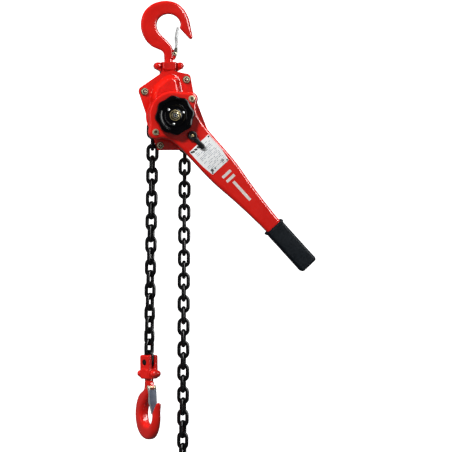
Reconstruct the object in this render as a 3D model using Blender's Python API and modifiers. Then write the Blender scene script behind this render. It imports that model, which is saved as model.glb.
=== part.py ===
# Lever chain hoist, 1.5 tonne class, 8 x 24 mm load chain.
# Frame: origin at the seat of the top hook's bowl, +Z up, +X right, front faces -Y. Lengths below are millimetres.
import math

import bmesh
import bpy
from mathutils import Matrix, Vector

MM = 0.001

# driving dimensions
AXIS_X, AXIS_Z = 1.0, -212.0        # drive axis, along Y
PIN_Z = -134.0                      # suspension pin, along Y at X = 0
HOOK_YAW = -9.0                     # top hook's turn in its yoke
YOKE_TOP = -100.0                   # hook side face of the top yoke
LOBE_X = 23.3                       # rivets of a yoke, each side of its middle
PLATE_Y = 16.0                      # inner face of a side plate
PLATE_T = 5.0
FLANGE_Y0, FLANGE_Y1 = -24.0, -21.3
DOME_Y = -46.0
LEVER_Y0, LEVER_Y1 = -72.0, -48.0
LEVER_ANGLE = -47.5                 # lever direction below the +X axis
LEVER_END = 412.0
GRIP_START, GRIP_END = 310.5, 422.0
WHEEL_Y0, WHEEL_Y1 = -98.0, -76.0
WHEEL_R = 40.0
SHEAVE_R = 33.5                     # to the chain's centre line
PITCH = 23.9                        # 24 nominal
WIRE = 4.0                          # wire radius of a link
LINK_W = 9.3                        # half width of a link to its wire's centre line
LINK_L = 16.0                       # half length of a link to its wire's centre line
LOAD_LEAN = 1.06                    # degrees from plumb, both strands lean to -X
TAIL_LEAN = 0.45
LOAD_FIRST_Z = -217.2               # centre of the load strand's first link
TAIL_FIRST_Z = -222.2
LOAD_LINKS = 22
TAIL_LINKS = 30
LOW_YAW = -54.0                     # lower yoke's turn about the strand
LOW_SWING = -2.6                    # lower yoke's swing on the chain pin
LOW_LOBE_X = 19.6
LOW_HOOK_YAW = -72.7
GEAR_M = 2.1375                     # module of all gears
Z_PINION, Z_WHEEL, Z_SMALL, Z_LOAD = 7, 25, 8, 24
GEAR_C = GEAR_M * (Z_PINION + Z_WHEEL) / 2
GEAR_DIR = 100.0                    # direction of reduction gear 1 from the drive axis
STAYS = [(-53.2, -162.0), (33.9, -136.8), (-20.9, -273.4), (66.2, -248.2)]

for o in list(bpy.data.objects):
    bpy.data.objects.remove(o, do_unlink=True)
for c in list(bpy.data.collections):
    bpy.data.collections.remove(c)

PARTS = bpy.data.collections.new("lever_chain_hoist")
CUT = bpy.data.collections.new("cutters")
bpy.context.scene.collection.children.link(PARTS)
bpy.context.scene.collection.children.link(CUT)


def material(name, colour, rough, metal):
    m = bpy.data.materials.new(name)
    m.use_nodes = True
    b = m.node_tree.nodes["Principled BSDF"]
    b.inputs["Base Color"].default_value = (*colour, 1)
    b.inputs["Roughness"].default_value = rough
    b.inputs["Metallic"].default_value = metal
    return m


RED = material("red_enamel", (0.72, 0.02, 0.015), 0.25, 0.0)
BLACK = material("black_oxide", (0.012, 0.012, 0.013), 0.45, 0.6)
PLASTIC = material("black_gloss", (0.006, 0.006, 0.008), 0.18, 0.0)
RUBBER = material("black_rubber", (0.008, 0.01, 0.012), 0.6, 0.0)
ZINC = material("yellow_zinc", (0.62, 0.52, 0.3), 0.35, 0.9)
STEEL = material("steel", (0.55, 0.56, 0.58), 0.35, 0.95)
SHEET = material("zinc_sheet", (0.6, 0.62, 0.66), 0.35, 0.9)
WHITE = material("plate_white", (0.85, 0.86, 0.86), 0.4, 0.0)
LINING = material("friction_lining", (0.16, 0.13, 0.1), 0.85, 0.0)


def group(name, x=0.0, y=0.0, z=0.0, rot=(0, 0, 0), parent=None):
    """An empty that parts are placed under. Angles are in degrees."""
    e = bpy.data.objects.new(name, None)
    e.location = (x * MM, y * MM, z * MM)
    e.rotation_euler = [math.radians(a) for a in rot]
    e.parent = parent
    PARTS.objects.link(e)
    return e


def put(name, bm, mat=None, parent=None, cut=False, smooth=True):
    me = bpy.data.meshes.new(name)
    bmesh.ops.remove_doubles(bm, verts=bm.verts, dist=1e-7)
    bmesh.ops.recalc_face_normals(bm, faces=bm.faces)
    bm.to_mesh(me)
    bm.free()
    o = bpy.data.objects.new(name, me)
    (CUT if cut else PARTS).objects.link(o)
    if mat:
        me.materials.append(mat)
    if parent:
        o.parent = parent
    if smooth and not cut:
        me.shade_smooth()
        me.set_sharp_from_angle(angle=math.radians(35))
    if cut:
        o.hide_render = True
        o.display_type = "WIRE"
    return o


def cyl(bm, r, y0, y1, x=0.0, z=0.0, seg=16, r2=None, phase=0.0):
    """A cylinder or cone along Y, from y0 (radius r) to y1 (radius r2)."""
    r2 = r if r2 is None else r2
    if y1 < y0:
        y0, y1, r, r2 = y1, y0, r2, r
    m = (Matrix.Translation((x * MM, (y0 + y1) / 2 * MM, z * MM))
         @ Matrix.Rotation(math.radians(-90), 4, "X") @ Matrix.Rotation(phase, 4, "Z"))
    bmesh.ops.create_cone(bm, cap_ends=True, segments=seg, radius1=r * MM, radius2=r2 * MM,
                          depth=(y1 - y0) * MM, matrix=m)


def zcyl(bm, r, z0, z1, x=0.0, y=0.0, seg=20, r2=None):
    """A cylinder or cone along Z, from z0 (radius r) to z1 (radius r2)."""
    m = Matrix.Translation((x * MM, y * MM, (z0 + z1) / 2 * MM))
    bmesh.ops.create_cone(bm, cap_ends=True, segments=seg, radius1=r * MM, radius2=(r if r2 is None else r2) * MM,
                          depth=abs(z1 - z0) * MM, matrix=m)


def box(bm, x0, x1, y0, y1, z0, z1):
    m = Matrix.Translation(((x0 + x1) / 2 * MM, (y0 + y1) / 2 * MM, (z0 + z1) / 2 * MM)) @ Matrix.Diagonal(
        ((x1 - x0) * MM, (y1 - y0) * MM, (z1 - z0) * MM, 1))
    bmesh.ops.create_cube(bm, size=1.0, matrix=m)


def solid(name, build, mat=None, parent=None, cut=False, smooth=True):
    bm = bmesh.new()
    build(bm)
    return put(name, bm, mat, parent, cut, smooth)


def outline(name, pts, y0, y1, mat=None, parent=None, cut=False, bevel=0.0):
    """A flat outline in the XZ plane, from y0 to y1, drawn as a filled curve and made a mesh."""
    cu = bpy.data.curves.new(name + "_outline", "CURVE")
    cu.dimensions = "2D"
    cu.fill_mode = "BOTH"
    cu.extrude = (y1 - y0) / 2 * MM
    sp = cu.splines.new("POLY")
    sp.points.add(len(pts) - 1)
    for p, (x, z) in zip(sp.points, pts):
        p.co = (x * MM, z * MM, 0, 1)
    sp.use_cyclic_u = True
    co = bpy.data.objects.new(name + "_outline", cu)
    bpy.context.scene.collection.objects.link(co)
    co.rotation_euler = (math.radians(90), 0, 0)
    co.location = (0, (y0 + y1) / 2 * MM, 0)
    dg = bpy.context.evaluated_depsgraph_get()
    dg.update()
    me = bpy.data.meshes.new_from_object(co.evaluated_get(dg))
    me.transform(co.matrix_world)
    bpy.data.objects.remove(co)
    bm = bmesh.new()
    bm.from_mesh(me)
    bmesh.ops.remove_doubles(bm, verts=bm.verts, dist=1e-6)
    o = put(name, bm, mat, parent, cut)
    if bevel:
        b = o.modifiers.new("rounded edge", "BEVEL")
        b.width = bevel * MM
        b.segments = 1
        b.limit_method = "ANGLE"
        b.angle_limit = math.radians(50)
    return o


def boolean(o, other, op="DIFFERENCE"):
    m = o.modifiers.new(op.lower(), "BOOLEAN")
    m.operation = op
    m.solver = "EXACT"
    m.object = other
    if other.name not in CUT.objects:
        for c in list(other.users_collection):
            c.objects.unlink(other)
        CUT.objects.link(other)
    other.hide_render = True
    other.display_type = "WIRE"
    return o


def arc(cx, cz, r, a0, a1, n):
    return [(cx + r * math.cos(math.radians(a0 + (a1 - a0) * i / n)), cz + r * math.sin(math.radians(a0 + (a1 - a0) * i / n)))
            for i in range(n + 1)]


def rounded(corners, n=3):
    """A polygon whose corners (x, z, radius) are rounded; corners run anticlockwise seen from the front."""
    out = []
    k = len(corners)
    for i, (x, z, r) in enumerate(corners):
        p = Vector((x, z))
        if r <= 0:
            out.append((x, z))
            continue
        a = (Vector(corners[i - 1][:2]) - p).normalized()
        b = (Vector(corners[(i + 1) % k][:2]) - p).normalized()
        half = a.angle(b) / 2
        d = r / math.tan(half)
        c = p + (a + b).normalized() * (r / math.sin(half))
        s, e = p + a * d - c, p + b * d - c
        a0, a1 = math.atan2(s.y, s.x), math.atan2(e.y, e.x)
        turn = (a1 - a0 + math.pi) % (2 * math.pi) - math.pi
        out += [(c.x + r * math.cos(a0 + turn * j / n), c.y + r * math.sin(a0 + turn * j / n)) for j in range(n + 1)]
    return out


def gear(z, phase_deg, thin=0.36):
    """A gear outline about the origin, with straight flanks and backlash. A tooth points at phase_deg."""
    rp, ra, rf = GEAR_M * z / 2, GEAR_M * (z / 2 + 0.9), GEAR_M * (z / 2 - 1.15)
    pts = []
    step = 360.0 / z
    for i in range(z):
        a = phase_deg + i * step
        for r, h in ((rf, thin * 0.72), (ra, thin * 0.25), (ra, -thin * 0.25), (rf, -thin * 0.72)):
            t = math.radians(a - h * step)
            pts.append((r * math.cos(t), r * math.sin(t)))
    return pts


def moved(pts, x, z):
    return [(px + x, pz + z) for px, pz in pts]


def loft(bm, rings):
    """Rings of equal length joined in order, with a cap at each end."""
    vs = [[bm.verts.new(p) for p in ring] for ring in rings]
    n = len(vs[0])
    for a, b in zip(vs, vs[1:]):
        for i in range(n):
            bm.faces.new((a[i], a[(i + 1) % n], b[(i + 1) % n], b[i]))
    bm.faces.new(vs[0][::-1])
    bm.faces.new(vs[-1])


# ---------------------------------------------------------------- hooks
# stations along a hook from its shank to its tip: outer point, inner point, half thickness
HOOK = [
    ((-9.0, -92.0), (9.0, -92.0), 9.0),
    ((-9.4, -84.0), (9.2, -84.0), 9.0),
    ((-12.6, -77.6), (8.6, -74.2), 9.2),
    ((-20.5, -73.2), (5.2, -65.6), 9.6),
    ((-34.6, -66.7), (-5.4, -54.0), 10.2),
    ((-46.2, -55.4), (-16.0, -43.6), 10.5),
    ((-54.0, -40.6), (-22.2, -34.6), 10.5),
    ((-57.4, -23.3), (-25.2, -24.0), 10.5),
    ((-54.4, -4.4), (-22.6, -13.0), 10.5),
    ((-46.0, 10.0), (-17.0, -6.2), 10.5),
    ((-32.0, 21.6), (-10.6, -1.9), 10.4),
    ((-14.0, 27.4), (-3.6, -0.2), 10.3),
    ((2.6, 27.4), (3.6, -0.2), 10.0),
    ((18.6, 21.8), (11.0, -2.4), 9.6),
    ((31.6, 9.6), (18.0, -7.4), 9.2),
    ((40.4, -5.8), (23.2, -14.6), 8.6),
    ((44.4, -19.0), (25.2, -22.8), 8.0),
    ((46.0, -28.0), (23.6, -29.2), 7.2),
    ((48.2, -38.0), (31.4, -38.4), 6.2),
    ((50.0, -47.0), (40.0, -47.6), 5.2),
    ((49.6, -51.6), (44.4, -52.4), 3.0),
]


def hook(name, parent):
    """Forged hook: lofted bowl, a button head for the yoke and a lug for the latch."""
    def rings():
        out = []
        for (ox, oz), (ix, iz), b in HOOK:
            c = Vector(((ox + ix) / 2, (oz + iz) / 2))
            d = Vector((ox - ix, oz - iz)) / 2
            ring = []
            for k in range(10):
                t = 2 * math.pi * (k + 0.5) / 10
                u, v = math.cos(t), math.sin(t)
                u = math.copysign(abs(u) ** 0.8, u)
                v = math.copysign(abs(v) ** 0.8, v) * (1.0 - 0.12 * u)
                p = c + d * u * 1.04
                ring.append((p.x * MM, b * v * MM, p.y * MM))
            out.append(ring)
        return out

    o = solid(name, lambda bm: loft(bm, rings()), RED, parent)
    shank = solid(name + "_shank", lambda bm: (zcyl(bm, 9.0, -108.0, -88.0, seg=16)), None, parent, cut=True)
    head = solid(name + "_head", lambda bm: zcyl(bm, 12.4, -116.0, -107.8, seg=16), None, parent, cut=True)
    lug = outline(name + "_lug", [(4.0, -95.0), (12.5, -95.0), (15.5, -90.0), (17.6, -82.0), (14.0, -77.0), (4.0, -70.0)],
                  -4.5, 4.5, None, parent, cut=True)
    bore = solid(name + "_bore", lambda bm: cyl(bm, 2.6, -8, 8, 13.0, -82.5, 12), None, parent, cut=True)
    boolean(o, shank, "UNION")
    boolean(o, head, "UNION")
    boolean(o, lug, "UNION")
    boolean(o, bore)
    return o


def latch(name, parent):
    """Sheet latch: two ears on the pin and a tongue that rests inside the hook's tip."""
    o = outline(name, [(17.6, -72.0), (19.2, -72.2), (21.3, -46.0), (22.0, -27.0), (20.4, -26.8), (19.6, -46.0)],
                -8.6, 8.6, SHEET, parent)
    for s, y0 in ((1, 5.0), (-1, -6.8)):
        ear = outline(f"{name}_ear{s}", [(9.2, -85.0), (12.0, -87.0), (15.0, -86.4), (17.6, -83.0), (19.4, -71.4), (16.2, -69.4)],
                      y0, y0 + 1.8, None, parent, cut=True)
        boolean(o, ear, "UNION")
    bore = solid(name + "_bore", lambda bm: cyl(bm, 2.6, -9, 9, 13.0, -82.5, 12), None, parent, cut=True)
    boolean(o, bore)
    cutters = solid(name + "_tip", lambda bm: (box(bm, 15, 26, 5.0, 12, -50, -22), box(bm, 15, 26, -12, -5.0, -50, -22)),
                    None, parent, cut=True)
    boolean(o, cutters)
    return o


def latch_pin(name, parent):
    def b(bm):
        cyl(bm, 2.2, -9.6, 9.6, 13.0, -82.5, 12)
    o = solid(name, b, ZINC, parent)
    for s in (-1, 1):
        h = solid(f"{name}_head{s}", lambda bm: cyl(bm, 3.6, 7.2 * s, 9.0 * s, 13.0, -82.5, 12), None, parent, cut=True)
        boolean(o, h, "UNION")
    return o


top = group("top_hook_frame", rot=(0, 0, HOOK_YAW))
hook("top_hook", top)
latch("top_latch", top)
latch_pin("top_latch_pin", top)

# ---------------------------------------------------------------- top yoke
YOKE_OUT = ([(-14.0, YOKE_TOP)] + [(-17.5, -101.5)] + arc(-LOBE_X, -108, 7.6, 75, 262, 6) + [(-17.5, -119.5), (-17.0, -146.0)]
            + arc(0, PIN_Z, 15.5, 230, 310, 4) + [(17.0, -146.0), (17.5, -119.5)] + arc(LOBE_X, -108, 7.6, -82, 105, 6)
            + [(17.5, -101.5), (14.0, YOKE_TOP)])


def yoke_half(name, s):
    """Half of the top yoke; s is -1 for the front half."""
    y = sorted((0.2 * s, 12.0 * s))
    o = outline(name, YOKE_OUT, y[0], y[1], RED)
    y = sorted((5.0 * s, 22.0 * s))
    boss = outline(name + "_boss", [(-14, YOKE_TOP), (-14, -114), (-11, -116.6), (11, -116.6), (14, -114), (14, YOKE_TOP)],
                   y[0], y[1], None, None, cut=True, bevel=4.0)
    boolean(o, boss, "UNION")
    y = sorted((3.0 * s, 15.2 * s))
    ear = outline(name + "_ear", [(-16.6, -123), (-16.6, -146)] + arc(0, PIN_Z, 15.0, 230, 310, 4) + [(16.6, -146), (16.6, -123)],
                  y[0], y[1], None, None, cut=True)
    boolean(o, ear, "UNION")
    boolean(o, solid(name + "_throat", lambda bm: zcyl(bm, 9.6, -109, -95, seg=14), cut=True))
    boolean(o, solid(name + "_cavity", lambda bm: zcyl(bm, 13.1, -117, -107, seg=14), cut=True))
    boolean(o, solid(name + "_pinbore", lambda bm: cyl(bm, 6.4, -30, 30, 0, PIN_Z, 16), cut=True))
    for sx in (-1, 1):
        boolean(o, solid(f"{name}_rivet{sx}", lambda bm: cyl(bm, 4.3, -30, 30, sx * LOBE_X, -108, 12), cut=True))
    return o


yoke_half("top_yoke_front", -1)
yoke_half("top_yoke_rear", 1)


def rivet(name, x, z, half, parent=None, r=4.0, head=5.6, h=3.0):
    o = solid(name, lambda bm: cyl(bm, r, -half - 1.5, half + 1.5, x, z, 12), RED, parent)
    for s in (-1, 1):
        c = solid(f"{name}_head{s}", lambda bm: cyl(bm, head, s * (half + 0.3), s * (half + h), x, z, 12, r2=head * 0.62),
                  None, parent, cut=True)
        boolean(o, c, "UNION")
    return o


rivet("top_yoke_bolt_left", -LOBE_X, -108, 12.0)
rivet("top_yoke_bolt_right", LOBE_X, -108, 12.0)
solid("suspension_pin", lambda bm: cyl(bm, 6.1, -20.7, 20.9, 0, PIN_Z, 16), STEEL)

# ---------------------------------------------------------------- hoist body
FLANGE = rounded([(0, -117.5, 30), (-20, -124.5, 14), (-66.5, -156.5, 7), (-40, -240, 20), (-26.0, -283.3, 5), (34.0, -283.3, 12),
                  (76.0, -256.0, 12), (79.0, -242.0, 10), (49.2, -164.0, 30), (42.5, -126.0, 9)])
PLATE = rounded([(0, -120.5, 26), (-20, -127.5, 12), (-62.0, -157.0, 7), (-34.5, -240, 20), (-23.5, -280.3, 4), (34.0, -280.3, 12),
                 (73.5, -255.0, 11), (76.0, -242.0, 9), (46.2, -164.0, 30), (41.0, -129.0, 8)])


def side_plate(name, s):
    y = sorted((PLATE_Y * s, (PLATE_Y + PLATE_T) * s))
    o = outline(name, PLATE, y[0], y[1], RED)

    def holes(bm):
        cyl(bm, 20.1, y[0] - 2, y[1] + 2, AXIS_X, AXIS_Z, 24)
        cyl(bm, 6.4, y[0] - 2, y[1] + 2, 0, PIN_Z, 16)
        for x, z in STAYS:
            cyl(bm, 4.3, y[0] - 2, y[1] + 2, x, z, 12)
        if s > 0:
            for k in (0, 180):
                x, z = gear_centre(k)
                cyl(bm, 4.3, y[0] - 2, y[1] + 2, x, z, 12)
        else:
            for x, z in PAWLS:
                cyl(bm, 3.3, y[0] - 2, y[1] + 2, x, z, 12)
    return boolean(o, solid(name + "_holes", holes, cut=True))


def gear_centre(turn):
    a = math.radians(GEAR_DIR + turn)
    return AXIS_X + GEAR_C * math.cos(a), AXIS_Z + GEAR_C * math.sin(a)


PAWLS = [(AXIS_X + 38.5 * math.cos(math.radians(a)), AXIS_Z + 38.5 * math.sin(math.radians(a))) for a in (20.0, 200.0)]

side_plate("front_side_plate", -1)
side_plate("rear_side_plate", 1)

for i, (sx, sz) in enumerate(STAYS, 1):
    short = i == 3

    def shaft(bm, x=sx, z=sz):
        cyl(bm, 4.0, -34.0, -16.4 if short else 26.0, x, z, 12)
    stay = solid(f"stay_bolt_{i}", shaft, ZINC)
    if not short:
        boolean(stay, solid(f"stay_spacer_{i}", lambda bm, x=sx, z=sz: cyl(bm, 6.0, -15.7, 15.7, x, z, 12), cut=True), "UNION")
        boolean(stay, solid(f"stay_head_{i}", lambda bm, x=sx, z=sz: cyl(bm, 7.2, 21.3, 26.5, x, z, 6), cut=True), "UNION")
    nut = solid(f"stay_nut_{i}", lambda bm, x=sx, z=sz: cyl(bm, 7.3, -31.0, -24.3, x, z, 6, phase=math.radians(16)), ZINC)
    boolean(nut, solid(f"stay_nut_bore_{i}", lambda bm, x=sx, z=sz: cyl(bm, 4.35, -40, -20, x, z, 12), cut=True))

def dome(r, corners, a0, a1):
    """The drum around the drive axis with the hump above it."""
    return rounded(corners + [(x, z, 0) for x, z in arc(AXIS_X, AXIS_Z, r, a0, a1, 13)])


DOME = dome(47.5, [(24, -172, 10), (15.5, -134.5, 8), (2, -126.5, 12), (-12, -133, 6), (-36, -151, 9), (-43.5, -176, 10)], 147, 417)
DOME_IN = dome(44.5, [(20, -174, 9), (11.5, -138.5, 6), (1, -131.5, 9), (-12, -138, 5), (-31, -153, 7), (-39.0, -178, 9)], 148, 415)
cover = outline("brake_cover", FLANGE, FLANGE_Y0, FLANGE_Y1, RED)
boolean(cover, outline("brake_cover_dome", DOME, DOME_Y, FLANGE_Y1 - 0.01, cut=True, bevel=5.0), "UNION")
boolean(cover, outline("brake_cover_hollow", DOME_IN, DOME_Y + 2.6, FLANGE_Y1 + 2, cut=True))
boolean(cover, solid("brake_cover_holes", lambda bm: ([cyl(bm, 4.3, -30, -18, x, z, 12) for x, z in STAYS],
                                                       cyl(bm, 14.5, -50, -40, AXIS_X, AXIS_Z, 18)), cut=True))

g1, g2 = gear_centre(0), gear_centre(180)


def stadium(r, n=7):
    return (arc(g1[0], g1[1], r, GEAR_DIR - 90, GEAR_DIR + 90, n) + arc(g2[0], g2[1], r, GEAR_DIR + 90, GEAR_DIR + 270, n))


rear = outline("gear_cover", stadium(33.0), 21.4, 56.0, RED, bevel=3.0)
boolean(rear, outline("gear_cover_hollow", stadium(30.2), 19.0, 53.4, cut=True))
boolean(rear, solid("gear_cover_boss", lambda bm: cyl(bm, 17.0, 55.0, 63.0, AXIS_X, AXIS_Z, 18, r2=15.0), cut=True), "UNION")
boolean(rear, solid("gear_cover_bore", lambda bm: cyl(bm, 5.3, 50.0, 60.0, AXIS_X, AXIS_Z, 16), cut=True))
for k in (0, 180):
    gx, gz = gear_centre(k)
    boolean(rear, solid(f"gear_cover_seat{k}", lambda bm: cyl(bm, 9.0, 47.5, 54.0, gx, gz, 12), cut=True), "UNION")
    boolean(rear, solid(f"gear_cover_seat_bore{k}", lambda bm: cyl(bm, 4.3, 44, 53.0, gx, gz, 12), cut=True))

guide = outline("chain_guide", rounded([(-10, -256, 4), (-10, -279, 3), (14, -279, 3), (14, -256, 4), (2, -250, 6)]), -15.6, 15.6, BLACK)

for nm, s in (("sheave_bearing_front", -1), ("sheave_bearing_rear", 1)):
    y = sorted((15.9 * s, 21.0 * s))
    ring = solid(nm, lambda bm: cyl(bm, 19.7, y[0], y[1], AXIS_X, AXIS_Z, 20), STEEL)
    boolean(ring, solid(nm + "_bore", lambda bm: cyl(bm, 12.5, y[0] - 2, y[1] + 2, AXIS_X, AXIS_Z, 16), cut=True))

# ---------------------------------------------------------------- drive
load = solid("load_sheave", lambda bm: cyl(bm, 12.0, -20.6, 23.0, AXIS_X, AXIS_Z, 16), STEEL)
for s in (-1, 1):
    boolean(load, solid(f"load_sheave_side{s}", lambda bm: cyl(bm, 24.4, s * 5.0, s * 15.0, AXIS_X, AXIS_Z, 18), cut=True), "UNION")
boolean(load, solid("load_sheave_bore", lambda bm: cyl(bm, 6.4, -40, 40, AXIS_X, AXIS_Z, 16), cut=True))


def toothed(name, z, phase, x, zc, y0, y1, mat=STEEL):
    return outline(name, moved(gear(z, phase), x, zc), y0, y1, mat)


load_g = toothed("load_gear", Z_LOAD, GEAR_DIR, AXIS_X, AXIS_Z, 23.4, 30.5)
boolean(load_g, solid("load_gear_bore", lambda bm: cyl(bm, 6.4, 20, 34, AXIS_X, AXIS_Z, 16), cut=True))
for i, k in enumerate((0, 180), 1):
    gx, gz = gear_centre(k)
    back = GEAR_DIR + k + 180
    red = toothed(f"reduction_gear_{i}", Z_WHEEL, back + (0 if k == 0 else 180.0 / Z_PINION * Z_PINION / Z_WHEEL), gx, gz, 34.6, 41.6)
    small_phase = back + 180.0 / Z_SMALL
    small = outline(f"reduction_small_{i}", moved(gear(Z_SMALL, small_phase), gx, gz), 23.4, 35.0, cut=True)
    boolean(red, small, "UNION")
    boolean(red, solid(f"reduction_axle_{i}", lambda bm: cyl(bm, 4.0, 16.3, 52.0, gx, gz, 12), cut=True), "UNION")

shaft_o = solid("drive_shaft", lambda bm: cyl(bm, 6.0, -91.5, 33.5, AXIS_X, AXIS_Z, 16), STEEL)
boolean(shaft_o, outline("drive_pinion", moved(gear(Z_PINION, GEAR_DIR + 180.0 / Z_PINION), AXIS_X, AXIS_Z), 32.0, 43.0, cut=True), "UNION")
boolean(shaft_o, solid("drive_tail", lambda bm: cyl(bm, 5.0, 42.0, 58.0, AXIS_X, AXIS_Z, 16), cut=True), "UNION")


def disc(name, r, y0, y1, mat, bore=6.4, seg=20):
    o = solid(name, lambda bm: cyl(bm, r, y0, y1, AXIS_X, AXIS_Z, seg), mat)
    return boolean(o, solid(name + "_bore", lambda bm: cyl(bm, bore, y0 - 3, y1 + 3, AXIS_X, AXIS_Z, 16), cut=True))


disc("brake_hub", 26.0, -25.6, -21.8, STEEL)
disc("friction_disc_rear", 25.0, -28.4, -25.9, LINING)
disc("friction_disc_front", 25.0, -36.4, -33.9, LINING)
teeth = []
for i in range(16):
    for r, turn in ((32.0, 0.0), (28.0, 1.5), (29.6, 11.25)):
        t = math.radians(22.5 * i + turn)
        teeth.append((AXIS_X + r * math.cos(t), AXIS_Z + r * math.sin(t)))
rat = outline("ratchet_disc", teeth, -33.6, -28.7, STEEL)
boolean(rat, solid("ratchet_disc_bore", lambda bm: cyl(bm, 6.4, -40, -20, AXIS_X, AXIS_Z, 16), cut=True))

change = solid("change_gear", lambda bm: cyl(bm, 25.0, -40.2, -36.7, AXIS_X, AXIS_Z, 20), STEEL)
boolean(change, solid("change_gear_sleeve", lambda bm: cyl(bm, 13.0, -53.0, -39.0, AXIS_X, AXIS_Z, 16), cut=True), "UNION")
cg = []
for i in range(12):
    a = 360.0 / 12 * i
    for r, h in ((17.0, -10.0), (21.5, -5.0), (21.5, 5.0), (17.0, 10.0)):
        cg.append((AXIS_X + r * math.cos(math.radians(a + h)), AXIS_Z + r * math.sin(math.radians(a + h))))
boolean(change, outline("change_gear_teeth", cg, -67.0, -52.0, cut=True), "UNION")
boolean(change, solid("change_gear_bore", lambda bm: cyl(bm, 6.4, -80, -30, AXIS_X, AXIS_Z, 16), cut=True))

for i, (px, pz) in enumerate(PAWLS, 1):
    a = 20.0 + 180.0 * (i - 1)
    c, s = math.cos(math.radians(a)), math.sin(math.radians(a))

    def rel(r, t):
        """A point r outward from the drive axis and t around it."""
        return (AXIS_X + r * c - t * s, AXIS_Z + r * s + t * c)
    pw = outline(f"brake_pawl_{i}", [rel(42.4, -2.5), rel(42.4, 2.5), rel(38.0, 5.5), rel(34.5, 13.0), rel(32.5, 12.4), rel(34.6, 2.0), rel(36.4, -4.0),
                                     rel(40, -4.6)], -33.2, -29.0, STEEL)
    boolean(pw, solid(f"brake_pawl_stub_{i}", lambda bm: cyl(bm, 3.0, -30.0, -16.4, px, pz, 12), cut=True), "UNION")

# ---------------------------------------------------------------- lever
lever = group("lever_frame", AXIS_X, 0, AXIS_Z, (0, -LEVER_ANGLE, 0))
HALF = [(20.0, 45.9), (27.0, 41.6), (35.0, 37.8), (50.0, 34.8), (110.0, 32.6), (140.0, 32.2), (170.0, 30.2), (207.0, 25.6),
        (243.0, 22.0), (312.0, 17.8), (LEVER_END, 17.4)]


def lever_outline(inset=0.0):
    """Lever outline about the drive axis, +X along the handle; the head is round with a lobe at each bolt."""
    up = [(x - (inset if x == LEVER_END else 0), w - inset) for x, w in HALF]
    lobe = arc(0, 50.5, 14.2 - inset, 20, 160, 4)
    left = arc(0, 0, 50.0 - inset, 118, 242, 8)
    up_side = lobe + left + [(x, -z) for x, z in lobe[::-1]]
    return [(x, -z) for x, z in up] + up[::-1] + up_side


def lever_half(name, y0, y1, open_at):
    o = outline(name, lever_outline(), y0, y1, RED, lever)
    wall = 2.6
    a, b = (y0 + wall, y1 + 2) if open_at > y0 else (y0 - 2, y1 - wall)
    boolean(o, outline(name + "_hollow", lever_outline(wall), a, b, None, lever, cut=True))

    def bores(bm):
        for s in (-1, 1):
            cyl(bm, 9.0, y0 + 0.02, y1 - 0.02, 0, s * 50.5, 12)
    boolean(o, solid(name + "_bosses", bores, None, lever, cut=True), "UNION")

    def holes(bm):
        for s in (-1, 1):
            cyl(bm, 4.3, y0 - 3, y1 + 3, 0, s * 50.5, 12)
        cyl(bm, 13.5, y0 - 3, y1 + 3, 0, 0, 16)
        if y0 < -61:
            cyl(bm, 4.8, y0 - 3, y1 + 3, 56.0, 0, 12)
    boolean(o, solid(name + "_holes", holes, None, lever, cut=True))
    return o


lever_half("lever_front", LEVER_Y0, -60.2, -60.2)
lever_half("lever_rear", -59.8, LEVER_Y1, -70.0)
for nm, s in (("lever_bolt_upper", 1), ("lever_bolt_lower", -1)):
    o = solid(nm, lambda bm: cyl(bm, 4.0, -77.0, -48.3, 0, s * 50.5, 12), ZINC, lever)
    boolean(o, solid(nm + "_head", lambda bm: cyl(bm, 6.4, -78.0, -72.3, 0, s * 50.5, 12), None, lever, cut=True), "UNION")

grip = outline("lever_grip", rounded([(GRIP_START, -20.6, 1), (GRIP_END, -20.6, 6), (GRIP_END, 20.6, 6), (GRIP_START, 20.6, 1)], 2), -74.6, -45.4,
               RUBBER, lever, bevel=2.5)
boolean(grip, outline("lever_grip_collar", [(GRIP_START - 0.5, -22.8), (GRIP_START + 5, -22.8), (GRIP_START + 5, 22.8), (GRIP_START - 0.5, 22.8)],
                      -76.2, -43.8, None, lever, cut=True), "UNION")
boolean(grip, outline("lever_grip_socket", [(GRIP_START - 5, -18.3), (LEVER_END + 0.4, -18.3), (LEVER_END + 0.4, 18.3), (GRIP_START - 5, 18.3)],
                      LEVER_Y0 - 0.3, LEVER_Y1 + 0.3, None, lever, cut=True))

outline("nameplate", [(77.0, -27.0), (100.0, -27.2), (120.0, -26.4), (144.5, -22.6), (144.5, 22.6), (120.0, 26.4), (100.0, 27.2), (77.0, 27.0)],
        -73.2, -72.3, WHITE, lever)

sel = solid("selector_lever", lambda bm: cyl(bm, 9.4, -83.0, -74.6, 56.0, 0, 16, r2=9.8), PLASTIC, lever)
boolean(sel, outline("selector_arm", rounded([(56, -5.2, 1), (85, -5.6, 4), (91, 0, 4), (85, 5.6, 4), (56, 5.2, 1)], 2), -83.0, -75.2, None, lever, cut=True,
                     bevel=1.2), "UNION")
boolean(sel, solid("selector_stem", lambda bm: cyl(bm, 4.3, -76.0, -66.0, 56.0, 0, 12), None, lever, cut=True), "UNION")
boolean(sel, solid("selector_bore", lambda bm: cyl(bm, 1.9, -90.0, -60.0, 56.0, 0, 10), None, lever, cut=True))
screw = solid("selector_screw", lambda bm: cyl(bm, 1.5, -84.2, -54.5, 56.0, 0, 10), ZINC, lever)
boolean(screw, solid("selector_screw_head", lambda bm: cyl(bm, 3.4, -85.0, -83.4, 56.0, 0, 12), None, lever, cut=True), "UNION")
pawl = outline("change_pawl", rounded([(25.2, -8.0, 1), (32, -10.0, 1), (56, -7.5, 6), (66, 0, 4), (56, 7.5, 6), (32, 10.0, 1), (25.2, 8.0, 1), (29.5, 0, 3)], 2),
               -65.7, -54.0, STEEL, lever)
boolean(pawl, solid("change_pawl_bore", lambda bm: cyl(bm, 1.9, -70, -50, 56.0, 0, 10), None, lever, cut=True))

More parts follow.
